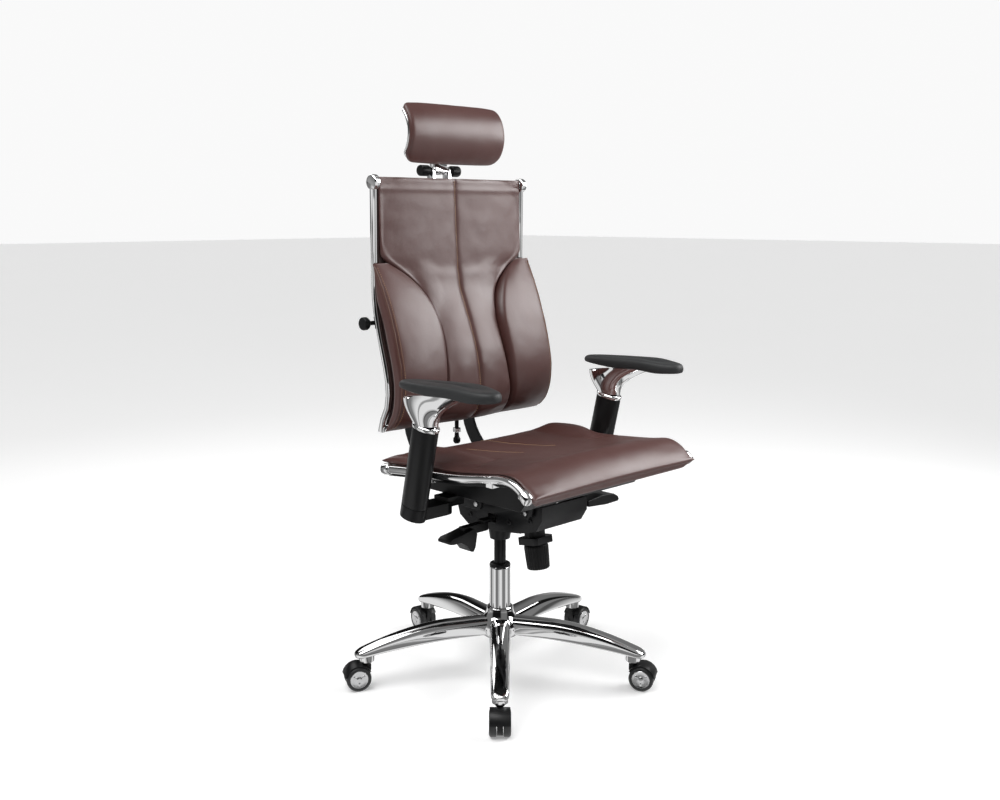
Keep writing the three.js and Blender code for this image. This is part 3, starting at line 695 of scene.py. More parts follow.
def buildMechanism():
    for node, finish, width in mechanism["edges"]:
        refined(node, finish, width, 3)

    # ribbed knob on its tilted shaft
    centre, axis = pinOf("tension_turn"), axisOf("tension_turn")
    side = axis.orthogonal().normalized()
    other = axis.cross(side)
    rings = []
    ribs = mechanism["knobRibs"]
    for h, r, depth in mechanism["knob"]:
        ring = []
        for k in range(ribs * 6):
            a = 2 * math.pi * k / (ribs * 6)
            wave = (0.5 + 0.5 * math.cos(ribs * a)) ** 3
            radius = r - mechanism["ribDepth"] * depth * wave
            ring.append(centre + axis * h + (side * math.cos(a) + other * math.sin(a)) * radius)
        rings.append(ring)
    knob = sharpen(loft("tension_knob_fine", rings, "tension_knob", "blackPlastic"), 50)
    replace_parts(knob, "tension_knob")

    # bolt heads on the housing's flanks
    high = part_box("mechanism_housing")[1]
    for hand in (-1, 1):
        for k, (y, z) in enumerate(mechanism["boltPlaces"]):
            turn(f"housing_bolt_{'lr'[hand > 0]}{k}", mechanism["bolt"], (high.x * hand, y, z), (hand, 0, 0),
                 "mechanism", "blackMetal", 24)


buildMechanism()
print("mechanism built")


seat = {
    "columns": 60,
    "rows": 56,
    "edge": 0.05,                 # part of the half width that is rounded off
    "roll": 0.095,                # part of the half length rounded off at the front
    "rearEdge": 0.03,             # the same at the rear
    "overlap": 0.011,             # how far the cover lies over each rail
    "dish": 0.007,
    "dishCentre": -0.06,
    "dishReach": (0.12, 0.13),
    "hipHeight": 0.017,
    "hipCentre": (0.202, -0.03),
    "hipReach": (0.04, 0.1),
    "bow": 0.015,                 # how far the front swells in the middle
    "nose": 0.005,
    "crease": 0.0018,
    "pressure": 2.0,
    "swell": 0.005,
    "threads": [((-0.012, 0.083), (0.02, -0.01), (0.062, -0.119)),
                ((-0.105, 0.001), (-0.078, -0.055), (-0.043, -0.12))],
    "darts": [(-0.236, -0.172, -0.15, -0.14), (0.236, -0.172, 0.15, -0.14)],
    "threadGroove": (0.0014, 0.004),  # depth and width
    "dartGroove": (0.0022, 0.006),
    "railRadius": 0.009,
    "capRadius": 0.0125,
    "clipPlaces": (-0.236, -0.05),
}


def buildSeat():
    low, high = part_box("seat_pad")
    node = frame["nodes"]["seat_pad"]
    stations = np.linspace(low.y + 0.001, high.y - 0.001, 90)
    tops, unders = [], []
    for y in stations:
        tops.append(node.ray_cast(Vector((0.003, y, 0.8)), Vector((0, 0, -1)))[1].z)
        unders.append(node.ray_cast(Vector((0.003, y, 0.3)), Vector((0, 0, 1)))[1].z)
    blur = np.exp(-0.5 * (np.arange(-9, 10) / 3.6) ** 2)
    tops = list(np.convolve(np.pad(tops, 9, "edge"), blur / blur.sum(), "valid"))
    half = high.x + seat["overlap"]
    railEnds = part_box("seat_rail_left")
    railY = np.linspace(railEnds[0].y + 0.012, railEnds[1].y - 0.012, 40)
    railTop = [cutBox("seat_rail_left", "y", y)[1].z for y in railY]

    def sink(x, y):
        across = x / seat["dishReach"][0]
        along = (y - seat["dishCentre"]) / seat["dishReach"][1]
        return seat["dish"] * math.exp(-across ** 2 - along ** 2)

    # a rounded bolster along each hip, with a crease where it meets the seat
    def hip(x, y):
        across = (abs(x) - seat["hipCentre"][0]) / seat["hipReach"][0]
        along = (y - seat["hipCentre"][1]) / seat["hipReach"][1]
        if along < 0:
            across += 0.45 * along * along        # the front end points outwards
        d = math.hypot(across, along)
        return seat["hipHeight"] * smoothStep(1.3 - d) - seat["crease"] * math.exp(-((d - 1.3) / 0.07) ** 2)

    def point(c, r):
        return half * c, (low.y - seat["nose"] + high.y) / 2 + (high.y - low.y + seat["nose"]) / 2 * r

    def front(c, r):
        x, y = point(c, r)
        base = float(np.interp(y, stations, tops)) + sink(0, y) - 0.004 * smoothStep((-0.18 - y) / 0.08)
        fade = smoothStep((y - low.y) / 0.08) * smoothStep((high.y - y) / 0.03)
        bow = seat["bow"] * (1 - 0.6 * c * c) * smoothStep((-0.235 - y) / 0.085)
        return x, y, base - sink(x, y) + hip(x, y) * fade + bow

    # the edge of the cover lies on the rail
    def rear(c, r):
        x, y = point(c, r)
        under = float(np.interp(y, stations, unders))
        rail = float(np.interp(y, railY, railTop)) + 0.0004
        part = smoothStep((abs(x) - high.x + 0.012) / 0.01)
        return x, y, under + (rail - under) * part * smoothStep((y - low.y) / 0.03)

    def rimRow(r):
        return fillet(r, seat["rearEdge"] if r > 0 else seat["roll"])

    pad = padForm("seat_cushion", spread(seat["columns"]), spread(seat["rows"]), front, rear,
                  "seat", "leather", lambda c: fillet(c, seat["edge"]), rimRow)
    inflate(pad, seat["pressure"], seat["swell"])
    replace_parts(pad, "seat_pad")

    # seams drawn into the top, with their threads
    down = Vector((0, 0, -1))
    for k, line in enumerate(seat["threads"]):
        path = layOn(pad, route([(x, y, 0.6) for x, y in line], 40), down)
        channel(pad, path, *seat["threadGroove"])
        stitches(f"seat_thread_{k + 1}", layOn(pad, route(path, 60), down, 0.0004), "seat", thread["thick"])
    for x0, y0, x1, y1 in seat["darts"]:
        channel(pad, layOn(pad, route([(x0, y0, 0.6), (x1, y1, 0.6)], 20), down), *seat["dartGroove"])


# Small chromed clips that hold a rail to the seat pan.
def railClip(name, at, inward):
    rings = []
    for u, half in ((-0.013, 0.0085), (-0.012, 0.01), (0.0105, 0.01), (0.0115, 0.0088)):
        x = at.x + inward * (u + 0.012)
        corners = ((-half, -0.006), (half, -0.006), (half, 0.005), (-half, 0.005))
        rings.append([Vector((x, at.y + y, at.z + z)) for y, z in corners])
    bevel(sharpen(loft(name, rings, "seat", "chrome"), 30), 0.0014, 3)


def buildSeatRails():
    for node in ("seat_rail_left", "seat_rail_right"):
        low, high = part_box(node)
        x = (low.x + high.x) / 2
        for k, y in enumerate(seat["clipPlaces"]):
            under = cutBox(node, "y", y)[0].z
            railClip(f"{node}_clip_{k + 1}", Vector((x, y, under - 0.003)), -1 if x > 0 else 1)
        ys = np.linspace(high.y - 0.02, low.y + 0.02, 26)
        centres = []
        for y in ys:
            a, b = cutBox(node, "y", y)
            centres.append(Vector((x, y, (a.z + b.z) / 2)))
        path = route(centres, 70)
        for _ in range(6):
            inside = [(path[i - 1] + path[i] * 2 + path[i + 1]) / 4 for i in range(1, len(path) - 1)]
            path = [path[0]] + inside + [path[-1]]
        rail = pipe(node + "_bar", path, seat["railRadius"], "seat", "chrome", 28)
        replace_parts(rail, node)
        r = seat["capRadius"]
        ends = [(0.0, -0.01), (r - 0.0034, -0.01), (r - 0.0008, -0.0085), (r, -0.006), (r, 0.01),
                (r - 0.0012, 0.0135), (r - 0.004, 0.016), (r - 0.008, 0.0172), (0.0, 0.0176)]
        for tag, at, before in (("rear", path[0], path[2]), ("front", path[-1], path[-3])):
            cap = turn(f"{node}_{tag}_cap", ends, at, at - before, "seat", "chrome", 40, 50)
            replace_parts(cap, node)


buildSeat()
buildSeatRails()
refined("seat_pan", "blackPlastic", 0.0015, 3)
print("seat built")


arm = {
    "padHalf": 0.145,             # half length of the pad
    "padMiddle": -0.045,          # its middle, from the pivot
    "padWidth": (0.037, 0.0475),  # half width behind and in front
    "collarTop": 0.0085,
    "scoop": 0.02,
    "padCurves": (0.86, 0.9),     # how oval the pad's outline is, across and along
    "padDroop": 0.0075,
    # share of the outline and height, from the pad's underside to its top
    "padSection": [(0.3, 0.0004), (0.72, 0.0003), (0.9, 0.0006), (0.955, 0.002), (0.985, 0.0048),
                   (1.0, 0.009), (0.998, 0.0125), (0.984, 0.0162), (0.955, 0.0195), (0.91, 0.0219),
                   (0.83, 0.0236), (0.68, 0.0244), (0.44, 0.0246), (0.18, 0.0246)],
    # height along the post and how far it stands out from the tube
    "collar": [(0.0006, -0.001), (0.0012, 0.0006), (0.003, 0.0013), (0.0055, 0.0014), (0.008, 0.0009),
               (0.0096, -0.001), (0.01, -0.004)],
    "post": [(-0.115, -0.0042), (-0.114, -0.0036), (0.002, -0.0036), (0.003, -0.006)],
}


# Oval outline about a centre with different reaches each way, in a frame of three axes.
def ovalRing(centre, side, along, half, rear, front, steps=48, power=2.0):
    ring = []
    for k in range(steps):
        a = 2 * math.pi * k / steps
        c, s = math.cos(a), math.sin(a)
        u = math.copysign(abs(c) ** (2 / power), c) * half
        v = math.copysign(abs(s) ** (2 / power), s) * (rear if s > 0 else front)
        ring.append(centre + side * u + along * v)
    return ring


def buildArm(hand):
    sleeve, slider, padNode = f"arm_sleeve_{hand}", f"arm_slider_{hand}", f"arm_pad_{hand}"
    low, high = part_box(sleeve)
    first, second = cutBox(sleeve, "z", low.z + 0.03), cutBox(sleeve, "z", high.z - 0.03)
    a, b = (first[0] + first[1]) / 2, (second[0] + second[1]) / 2
    lean = (b - a).normalized()
    side = Vector((1, 0, 0))
    along = lean.cross(side).normalized() * -1
    if along.y < 0:
        along = -along
    halfX = (first[1].x - first[0].x) / 2
    halfY = (first[1].y - first[0].y) / 2 * lean.z
    foot = a + lean * ((low.z + halfY * abs(along.z) - a.z) / lean.z)
    top = a + lean * ((high.z - halfY * abs(along.z) - a.z) / lean.z)
    length = (top - foot).length

    def stack(name, rows, body, finish, at):
        rings = [ovalRing(at + lean * h, side, along, halfX + d, halfY + d, halfY + d) for h, d in rows]
        return sharpen(loft(name, rings, body, finish), 40)
    tube = [(0, -0.0015), (0.0004, -0.0006), (0.0015, 0), (length - 0.002, 0), (length - 0.0006, -0.0005),
            (length, -0.0018), (length, -0.0028), (length - 0.02, -0.0028)]
    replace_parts(stack(f"{sleeve}_fine", tube, "seat", "blackPlastic", foot), sleeve)

    # chrome collar, then the casting that flares up to the pad
    for name, rows in (("collar", arm["collar"]), ("post", arm["post"])):
        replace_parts(stack(f"{slider}_{name}", rows, f"arm_{hand}", "chrome", top), slider)
    pivot = pinOf(f"arm_pad_swivel_{hand}")
    up = axisOf(f"arm_pad_swivel_{hand}")
    forward = side.cross(up).normalized()
    if forward.y < 0:
        forward = -forward                         # points to the rear, along the pad

    def underPad(y):
        return pivot.z + (y - pivot.y) * forward.z / forward.y - 0.0007
    start = top + lean * arm["collarTop"]
    rows = []
    for k in range(15):
        t = k / 14
        rear = 0.027 + 0.029 * math.sin(0.5 * math.pi * t) ** 0.9
        nose = 0.03 + 0.106 * t ** 2.3
        half = 0.0215 + 0.012 * math.sin(0.5 * math.pi * t)
        ring = []
        middle = Vector((start.x, start.y, 0))
        for p in ovalRing(middle, side, Vector((0, 1, 0)), half, rear, nose, 64, 2.0 + 0.5 * t):
            # the rear of the rim dips, and a flute runs forward along each flank
            drop = 0.01 * smoothStep((p.y - start.y + 0.012) / 0.04) * t
            flute = 0.0035 * math.sin(math.pi * t) * smoothStep((start.y - 0.004 - p.y) / 0.05)
            x = p.x - math.copysign(flute, p.x - start.x) if abs(p.x - start.x) > 0.008 else p.x
            z = start.z + (underPad(p.y) - start.z) * t - drop
            ring.append(Vector((x, p.y, z)))
        rows.append(ring)
    rim = rows[-1]
    middle = Vector((start.x, start.y + 0.01, 0))
    scoop = arm["scoop"]
    for inset, depth in ((0.04, 0.0), (0.1, 0.0004), (0.14, 0.003), (0.2, 0.012), (0.34, scoop),
                         (0.7, scoop + 0.002)):
        ring = []
        for p in rim:
            q = p.lerp(Vector((middle.x, middle.y, p.z)), inset)
            hollow = smoothStep((q.y - start.y + 0.035) / 0.05)
            ring.append(Vector((q.x, q.y, q.z - depth * hollow - 0.0002)))
        rows.append(ring)
    casting = sharpen(loft(f"{slider}_casting", rows, f"arm_{hand}", "chrome"), 60)
    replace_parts(casting, slider)

    # soft pad: an oval, a little crowned, thinner at the rear
    rings = []
    across, lengthwise = arm["padCurves"]
    for scale, h in arm["padSection"]:
        ring = []
        for k in range(72):
            q = 2 * math.pi * k / 72
            c, s = math.cos(q), math.sin(q)
            v = math.copysign(abs(s) ** lengthwise, s)
            y = arm["padMiddle"] + arm["padHalf"] * v * (1 - (1 - scale) * 0.4)
            w = arm["padWidth"][1] + (arm["padWidth"][0] - arm["padWidth"][1]) * smoothStep((v + 1) / 2)
            x = math.copysign(abs(c) ** across, c) * w * scale
            wave = smoothStep((v - 0.2) / 0.8) - smoothStep((-0.25 - v) / 0.5)
            lift = 0.007 * wave * max(0.0, 1 - h / 0.02)
            droop = arm["padDroop"] * smoothStep((-0.3 - v) / 0.7) * smoothStep(h / 0.022)
            ring.append(pivot + side * x + forward * y + up * (h + lift - droop))
        rings.append(ring)
    pad = loft(f"{padNode}_soft", rings, f"arm_pad_{hand}", "armPad")
    subdivide(pad)
    for polygon in pad.data.polygons:
        polygon.use_smooth = True
    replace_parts(pad, padNode)
    refined(f"arm_bracket_{hand}", "blackPlastic", 0.0035, 4)


for hand in ("left", "right"):
    buildArm(hand)
print("arms built")


back = {
    "columns": 50,
    "rows": 80,
    "wingColumns": 30,
    "wingRows": 56,
    "pressure": 1.2,
    "swell": 0.0024,
    "wingPressure": 2.6,
    "wingSwell": 0.006,
    "pipeRadius": 0.0019,
    "threadGap": 0.006,
    "hem": 0.026,                 # height of the turned top edge
    "hemGroove": (0.0011, 0.0065),  # depth and width
    "seamGroove": (0.001, 0.0022),
    "pipingGroove": (0.0012, 0.0035),
    "offMiddle": 0.004,
    "waist": 0.96,                # height where the broad top turns into the centre column
    "gusset": (0.64, 0.935),
    "gussetPlace": 0.2205,
    "gussetHalf": 0.0022,
    "strutRing": [(0.005, 0.0), (0.009, 0.0), (0.0098, 0.001), (0.0098, 0.0085), (0.009, 0.0095),
                  (0.005, 0.0095)],
}


# Heights, and how deep the front or the rear of a CAD node lies at each, a little off its middle.
def tableOf(node, zs, fromFront):
    heights, depths = [], []
    for z in zs:
        start = Vector((back["offMiddle"], -0.5 if fromFront else 0.6, z))
        hit, where, _, _ = frame["nodes"][node].ray_cast(start, Vector((0, 1 if fromFront else -1, 0)))
        if hit:
            heights.append(z)
            depths.append(where.y)
    return heights, depths


def buildBackPad():
    low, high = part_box("back_pad")
    zs = np.linspace(low.z + 0.001, high.z - 0.001, 120)
    halves = [cutBox("back_pad", "z", z)[1].x for z in zs]
    frontZ, frontY = tableOf("back_pad", zs, True)
    rearZ, rearY = tableOf("back_pad", zs, False)

    def halfAt(z):
        return float(np.interp(z, zs, halves))

    def heightAt(r):
        return low.z + (high.z - low.z) * (r + 1) / 2

    def front(c, r):
        z = heightAt(r)
        half = halfAt(z)
        waist = back["waist"]
        crown = 0.01 * abs(c) ** 2.4 if z > waist else 0.006 * c * c
        lobe = 0.004 * math.sin(math.pi * min(1.0, abs(c)) ** 0.8)
        bulge = -lobe if z < waist else -0.0015 * math.sin(math.pi * abs(c))
        seam = 0.0035 * math.exp(-((c * half / 0.0042) ** 2))
        return c * half, float(np.interp(z, frontZ, frontY)) + crown + bulge + seam, z

    def rear(c, r):
        z = heightAt(r)
        return c * halfAt(z), float(np.interp(z, rearZ, rearY)), z
    pad = padForm("back_cushion", spread(back["columns"], (0.0,)), spread(back["rows"]), front, rear,
                  "back", "leather", lambda c: fillet(c, 0.07), lambda r: fillet(r, 0.03))
    inflate(pad, back["pressure"], back["swell"])
    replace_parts(pad, "back_pad")

    ahead = Vector((0, 1, 0))
    z = high.z - back["hem"]
    reach = halfAt(z) - 0.004
    hem = layOn(pad, [(x, -0.3, z) for x in np.linspace(-reach, reach, 90)], ahead)
    channel(pad, hem, *back["hemGroove"])
    line = [(0.0, -0.3, z) for z in np.linspace(high.z - 0.006, low.z + 0.012, 90)]
    channel(pad, layOn(pad, line, ahead), *back["seamGroove"])
    stitches("back_thread", layOn(pad, line, ahead, 0.0005), "back", thread["thick"])


def buildWing(hand):
    node = f"back_wing_{hand}"
    sign = 1 if hand == "left" else -1
    low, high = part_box(node)
    zs = np.linspace(low.z + 0.001, high.z - 0.001, 90)
    cuts = [cutBox(node, "z", z) for z in zs]
    inner = [min(abs(c[0].x), abs(c[1].x)) for c in cuts]
    outer = [max(abs(c[0].x), abs(c[1].x)) for c in cuts]
    nearest = [c[0].y for c in cuts]
    rearmost = [c[1].y for c in cuts]

    def heightAt(r):
        return low.z + (high.z - low.z) * (r + 1) / 2

    def spot(c, r):
        z = heightAt(r)
        a, b = float(np.interp(z, zs, inner)), float(np.interp(z, zs, outer))
        return sign * (a + (b - a) * (c + 1) / 2), z

    def front(c, r):
        x, z = spot(c, r)
        crown = 0.006 * c * c
        return x, float(np.interp(z, zs, nearest)) + crown - 0.003, z

    def rear(c, r):
        x, z = spot(c, r)
        return x, float(np.interp(z, zs, rearmost)), z
    pad = padForm(f"wing_{hand}", spread(back["wingColumns"]), spread(back["wingRows"]), front, rear,
                  "back", "leather", lambda c: fillet(c, 0.16), lambda r: fillet(r, 0.09))
    inflate(pad, back["wingPressure"], back["wingSwell"])
    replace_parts(pad, node)

    # piping down the outer edge, with a row of thread beside it
    ahead = Vector((0, 1, 0))
    line = [(spot(0.92, r)[0], -0.3, spot(0.92, r)[1]) for r in np.linspace(-0.96, 0.96, 80)]
    channel(pad, layOn(pad, line, ahead), *back["pipingGroove"])
    path = route(layOn(pad, line, ahead, 0.0004), 140)
    welt = pipe(f"wing_{hand}_piping", path, back["pipeRadius"], "back", "piping", 10)
    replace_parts(welt, node)
    inside = [(x - sign * back["threadGap"], y, z) for x, y, z in line]
    stitches(f"wing_{hand}_thread", layOn(pad, inside, ahead, 0.0002), "back", thread["fine"])


# Leather that closes the gap between a wing's plate and the padded panel, coloured darker as painted shade in
# the gap.
def buildGusset(hand):
    x = back["gussetPlace"] * (1 if hand == "left" else -1)
    half = back["gussetHalf"]
    rings = []
    for z in np.linspace(*back["gusset"], 30):
        ahead = cutBox(f"back_wing_{hand}", "z", z)[1].y - 0.004
        behind = cutBox("back_panel", "z", z)[0].y + 0.003
        rings.append([(x - half, ahead, z), (x + half, ahead, z), (x + half, behind, z),
                      (x - half, behind, z)])
    gusset = sharpen(loft(f"back_gusset_{hand}", rings, "back", "leatherDark"), 30)
    subdivide(sharpen(gusset, 30))


def buildStrutRing():
    low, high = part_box("back_strut")
    middle = (low + high) / 2
    turn("back_strut_ring", back["strutRing"], (middle.x, middle.y, high.z - 0.029), upright, "back",
         "chrome", 32)


buildBackPad()
for hand in ("left", "right"):
    buildWing(hand)
    buildGusset(hand)
buildStrutRing()
for node in ("back_rail_left", "back_rail_right"):
    refined(node, "chrome", 0.0006, 2, 40)
for node in ("back_crossbar_top", "back_crossbar_bottom"):
    refined(node, "chrome", 0.0004)
for node in ("back_bar_left", "back_bar_right", "back_bracket"):
    refined(node, "blackMetal", 0.0012, 3)
for node in ("back_shell", "back_strut", "lumbar_rod"):
    refined(node, "blackPlastic", 0.0012, 3)
# the panel behind the pads takes the leather painted darker as shade
refined("back_panel", "leatherDark", 0.0025, 4)
print("back built")


headrest = {
    "columns": 44,
    "rows": 34,
    "pressure": 1.8,
    "swell": 0.003,
    "cornerTop": (0.02, 0.26),    # how far a corner draws in, over which part of the half height
    "cornerLow": (0.034, 0.42),
    "lugs": (("left", 0.034), ("right", -0.042)),
    "lugThickness": 0.008,
    # grip, its body, where it starts on the pin, its radius and its length
    "grips": (("headrest_swing", "back", 0.0356, 0.013, 0.0258),
              ("headrest_tilt", "headrest_link", 0.0656, 0.0099, 0.0178)),
}


def buildHeadrest():
    low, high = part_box("headrest_pad")
    co = np.array([v.co for v in frame["nodes"]["headrest_pad"].data.vertices])
    # the pad's section is an arc: its centre lies level with the foremost line
    half = (high.z - low.z) / 2
    topEdge = co[co[:, 2] > high.z - 0.001][:, 1].min()
    sag = topEdge - low.y
    radius = (half * half + sag * sag) / (2 * sag)
    centre = Vector((0, low.y + radius, (low.z + high.z) / 2))
    reach = math.asin(half / radius)

    def edgeAt(r):
        draw, part = headrest["cornerTop"] if r > 0 else headrest["cornerLow"]
        return draw * (1 - fillet(r, part))

    def surface(deep, wide, bulge=0.0):
        def at(c, r):
            a = reach * r
            x = (wide - edgeAt(r)) * c
            d = deep + bulge * abs(c) ** 4
            return x, centre.y - (radius - d) * math.cos(a), centre.z + (radius - d) * math.sin(a)
        return at
    columns, rows = spread(headrest["columns"]), spread(headrest["rows"])
    pad = padForm("headrest_cushion", columns, rows, surface(0.0008, high.x, 0.004), surface(0.0162, high.x),
                  "headrest", "leather", lambda c: fillet(c, 0.06), lambda r: fillet(r, 0.14))
    inflate(pad, headrest["pressure"], headrest["swell"])
    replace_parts(pad, "headrest_pad")

    # chromed back plate, following the pad's outline
    wide = high.x + 0.001
    shell = padForm("headrest_plate", columns, rows, surface(0.015, wide), surface(0.0215, wide),
                    "headrest", "chrome", lambda c: fillet(c, 0.02), lambda r: fillet(r, 0.04))
    shell.vertex_groups.clear()
    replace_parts(shell, "headrest_shell")
    pin = pinOf("headrest_tilt")
    outline = [(low.y + 0.0205, pin.z + 0.036), (low.y + 0.036, pin.z - 0.004)]
    for q in range(250, 431, 15):
        a = math.radians(q)
        outline.append((pin.y + 0.009 * math.cos(a), pin.z + 0.009 * math.sin(a)))
    for hand, x0 in headrest["lugs"]:
        rings = [[Vector((x, y, z)) for y, z in outline] for x in (x0, x0 + headrest["lugThickness"])]
        lug = sharpen(loft(f"headrest_lug_{hand}", rings, "headrest", "chrome"), 30)
        bevel(lug, 0.0008, 2)
        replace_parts(lug, "headrest_shell")


# black grips on the ends of the two pivot pins
def buildHeadrestKnobs():
    for name, body, half, r, length in headrest["grips"]:
        pin = pinOf(name)
        grip = [(0.0, 0.0), (r - 0.0015, 0.0), (r - 0.0002, 0.001), (r, 0.003), (r, length - 0.0035),
                (r - 0.0008, length - 0.0012), (r - 0.003, length), (0.0, length)]
        for side, hand in (("left", 1), ("right", -1)):
            turn(f"{name}_grip_{side}", grip, (pin.x + hand * half, pin.y, pin.z), (hand, 0, 0), body,
                 "blackPlastic", 32)


buildHeadrest()
buildHeadrestKnobs()
refined("headrest_bracket", "chrome", 0.001, 3)
refined("headrest_link", "chrome", 0.001, 3)
print("headrest built")


studio = {
    "floor": 0.84,
    "floorSize": 40,              # half its side
    "floorRoughness": 0.8,
    "floorGlow": 0.26,            # keeps the far floor as pale as the near one
    "backdrop": (0.95, 0.95, 0.95),
    "sunPower": 1.7,
    "sunAngle": 50,
    "topPower": 20,
    "sidePower": 56,              # softbox to the right, which draws the highlights on the leather
    "rimPower": 12,
    "world": 0.42,
    "mirroredFloor": (0.2, 0.8),
    "fans": 5.0,
    "fanTurn": 0.4,
    "panels": 3.0,                # darker panels round the room
    "panelTurn": 0.6,
    "dark": 0.04,
    "overhead": 0.85,
    "cameraTurn": 44.81,          # degrees from the front towards the sitter's right
    "cameraReach": 2.558,
    "cameraHeight": 1.087,
    "cameraDrop": 9.46,
    "lens": 40.23,
}


# One math node; a plain number is set on the socket, anything else is linked to it.
def step(tree, kind, *values):
    node = tree.nodes.new("ShaderNodeMath")
    node.operation = kind
    for socket, value in zip(node.inputs, values):
        if isinstance(value, float):
            socket.default_value = value
        else:
            tree.links.new(value, socket)
    return node.outputs["Value"]


def ramp(tree, value, low, high, toLow, toHigh):
    node = tree.nodes.new("ShaderNodeMapRange")
    node.interpolation_type = "SMOOTHSTEP"
    for key, number in (("From Min", low), ("From Max", high), ("To Min", toLow), ("To Max", toHigh)):
        node.inputs[key].default_value = number
    tree.links.new(value, node.inputs["Value"])
    return node.outputs["Result"]


# Dark and light fans about the upright axis, counted by how many there are in a turn.
def fans(tree, coordinate, count, shift, low, high, dark, light):
    split = tree.nodes.new("ShaderNodeSeparateXYZ")
    tree.links.new(tree.nodes.new("ShaderNodeTexCoord").outputs[coordinate], split.inputs["Vector"])
    angle = step(tree, "ARCTAN2", split.outputs["Y"], split.outputs["X"])
    wave = step(tree, "SINE", step(tree, "ADD", step(tree, "MULTIPLY", angle, count), shift))
    return ramp(tree, wave, low, high, dark, light), split.outputs["Z"]


# Pale to the eye; what polished surfaces mirror is a white room with a few darker panels round it.
def buildSurroundings():
    world = bpy.data.worlds.new("studio")
    world.use_nodes = True
    tree = world.node_tree
    tree.nodes.clear()
    out = tree.nodes.new("ShaderNodeOutputWorld")
    panels, height = fans(tree, "Generated", studio["panels"], studio["panelTurn"], -0.1, 0.55,
                          studio["dark"], 1.0)
    overhead = ramp(tree, height, 0.55, 0.8, 0.0, studio["overhead"])
    band = ramp(tree, height, 0.02, 0.22, 1.0, 0.5)
    room = step(tree, "MAXIMUM", step(tree, "MULTIPLY", panels, band), overhead)
    mirrored = tree.nodes.new("ShaderNodeBackground")
    tree.links.new(step(tree, "MULTIPLY", room, studio["world"]), mirrored.inputs["Strength"])
    seen = tree.nodes.new("ShaderNodeBackground")
    seen.inputs["Color"].default_value = (*studio["backdrop"], 1)
    mix = tree.nodes.new("ShaderNodeMixShader")
    tree.links.new(tree.nodes.new("ShaderNodeLightPath").outputs["Is Camera Ray"], mix.inputs["Fac"])
    tree.links.new(mirrored.outputs["Background"], mix.inputs[1])
    tree.links.new(seen.outputs["Background"], mix.inputs[2])
    tree.links.new(mix.outputs["Shader"], out.inputs["Surface"])
    bpy.context.scene.world = world


# Matt pale paint; chrome mirrors a darker floor with soft fans of grey on it.
def floorPaint():
    mat = bpy.data.materials.new("floorPaint")
    mat.use_nodes = True
    tree = mat.node_tree
    shader = tree.nodes["Principled BSDF"]
    patch = tree.nodes.new("ShaderNodeTexNoise")
    patch.inputs["Scale"].default_value = 0.6
    tree.links.new(tree.nodes.new("ShaderNodeTexCoord").outputs["Object"], patch.inputs["Vector"])
    pale = studio["floor"]
    tree.links.new(ramp(tree, patch.outputs["Fac"], 0.3, 0.7, pale - 0.004, pale + 0.004),
                   shader.inputs["Base Color"])
    shader.inputs["Roughness"].default_value = studio["floorRoughness"]
    shader.inputs["Emission Color"].default_value = (1, 1, 1, 1)
    shader.inputs["Emission Strength"].default_value = studio["floorGlow"]
    grey, _ = fans(tree, "Object", studio["fans"], studio["fanTurn"], -0.75, 0.35, *studio["mirroredFloor"])
    fine, _ = fans(tree, "Object", studio["fans"] * 2 + 1, 1.0, -0.99, -0.8, 0.4, 1.0)
    mirrored = tree.nodes.new("ShaderNodeEmission")
    tree.links.new(step(tree, "MULTIPLY", grey, fine), mirrored.inputs["Strength"])
    mix = tree.nodes.new("ShaderNodeMixShader")
    tree.links.new(tree.nodes.new("ShaderNodeLightPath").outputs["Is Glossy Ray"], mix.inputs["Fac"])
    tree.links.new(shader.outputs["BSDF"], mix.inputs[1])
    tree.links.new(mirrored.outputs["Emission"], mix.inputs[2])
    tree.links.new(mix.outputs["Shader"], tree.nodes["Material Output"].inputs["Surface"])
    return mat


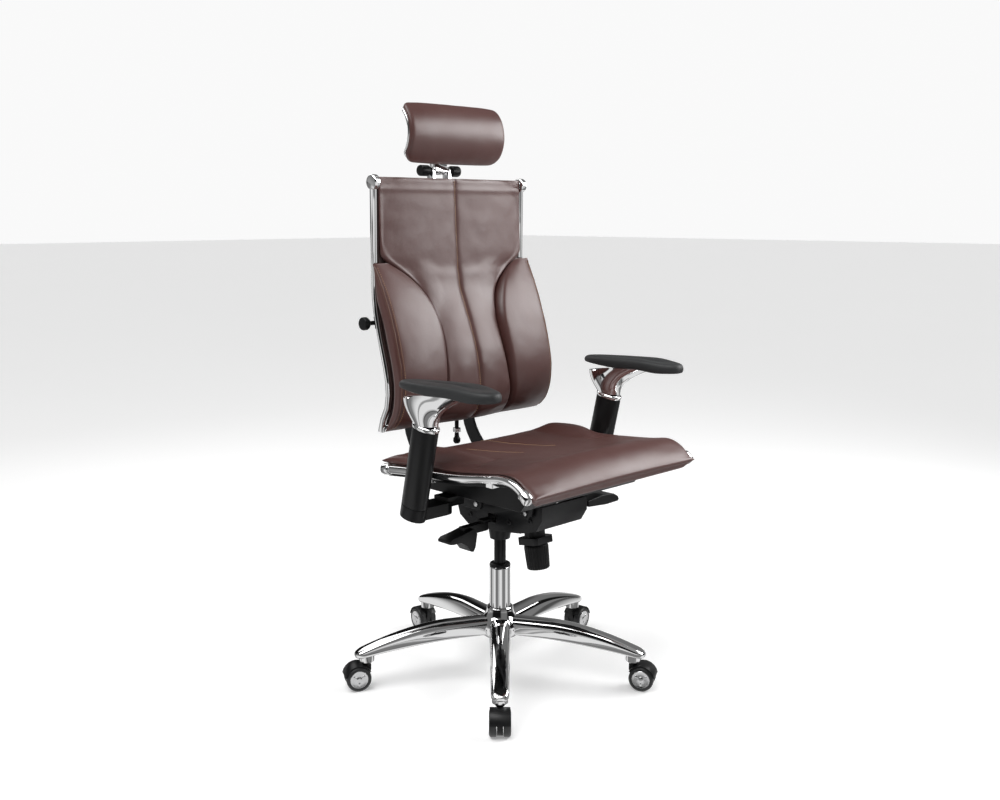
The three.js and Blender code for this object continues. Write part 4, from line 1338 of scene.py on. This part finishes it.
def buildStudio():
    mesh = bpy.data.meshes.new("floor")
    far = studio["floorSize"]
    mesh.from_pydata([(-far, -far, 0), (far, -far, 0), (far, far, 0), (-far, far, 0)], [], [(0, 1, 2, 3)])
    floor = bpy.data.objects.new("floor", mesh)
    bpy.context.scene.collection.objects.link(floor)
    mesh.materials.append(floorPaint())

    buildSurroundings()

    def softbox(name, at, target, size, power):
        lamp = bpy.data.lights.new(name, "AREA")
        lamp.shape = "RECTANGLE"
        lamp.size, lamp.size_y = size
        lamp.energy = power
        holder = bpy.data.objects.new(name, lamp)
        holder.location = at
        holder.rotation_euler = (Vector(target) - Vector(at)).to_track_quat("-Z", "Y").to_euler()
        bpy.context.scene.collection.objects.link(holder)
    a = math.radians(studio["cameraTurn"])
    toCamera = Vector((-math.sin(a), -math.cos(a), 0))
    right = Vector((math.cos(a), -math.sin(a), 0))
    middle = Vector((0, 0, 0.7))
    softbox("side", middle - toCamera * 0.3 + right * 2.1 + upright * 1.15, middle + upright * 0.1,
            (1.9, 1.3),
            studio["sidePower"])
    softbox("top", middle + toCamera * 1.3 - right * 0.6 + upright * 2.2, middle, (2.0, 1.4),
            studio["topPower"])
    softbox("rim", middle - toCamera * 1.8 - right * 1.4 + upright * 1.5, middle, (1.0, 2.0),
            studio["rimPower"])
    sun = bpy.data.lights.new("sun", "SUN")
    sun.energy = studio["sunPower"]
    sun.angle = math.radians(studio["sunAngle"])
    holder = bpy.data.objects.new("sun", sun)
    holder.rotation_euler = (toCamera * 0.35 - right * 0.45 + Vector((0, 0, 1))).to_track_quat("Z",
                                                                                               "Y").to_euler()
    bpy.context.scene.collection.objects.link(holder)

    camera = bpy.data.cameras.new("camera")
    camera.sensor_width = 36
    camera.lens = studio["lens"]
    camera.clip_end = 200
    eye = bpy.data.objects.new("camera", camera)
    eye.location = toCamera * studio["cameraReach"] + Vector((0, 0, studio["cameraHeight"]))
    down = math.radians(studio["cameraDrop"])
    look = -toCamera * math.cos(down) - Vector((0, 0, math.sin(down)))
    eye.rotation_euler = look.to_track_quat("-Z", "Y").to_euler()
    bpy.context.scene.collection.objects.link(eye)
    bpy.context.scene.camera = eye
    bpy.context.scene.view_settings.view_transform = "Standard"


buildStudio()
print("studio built")
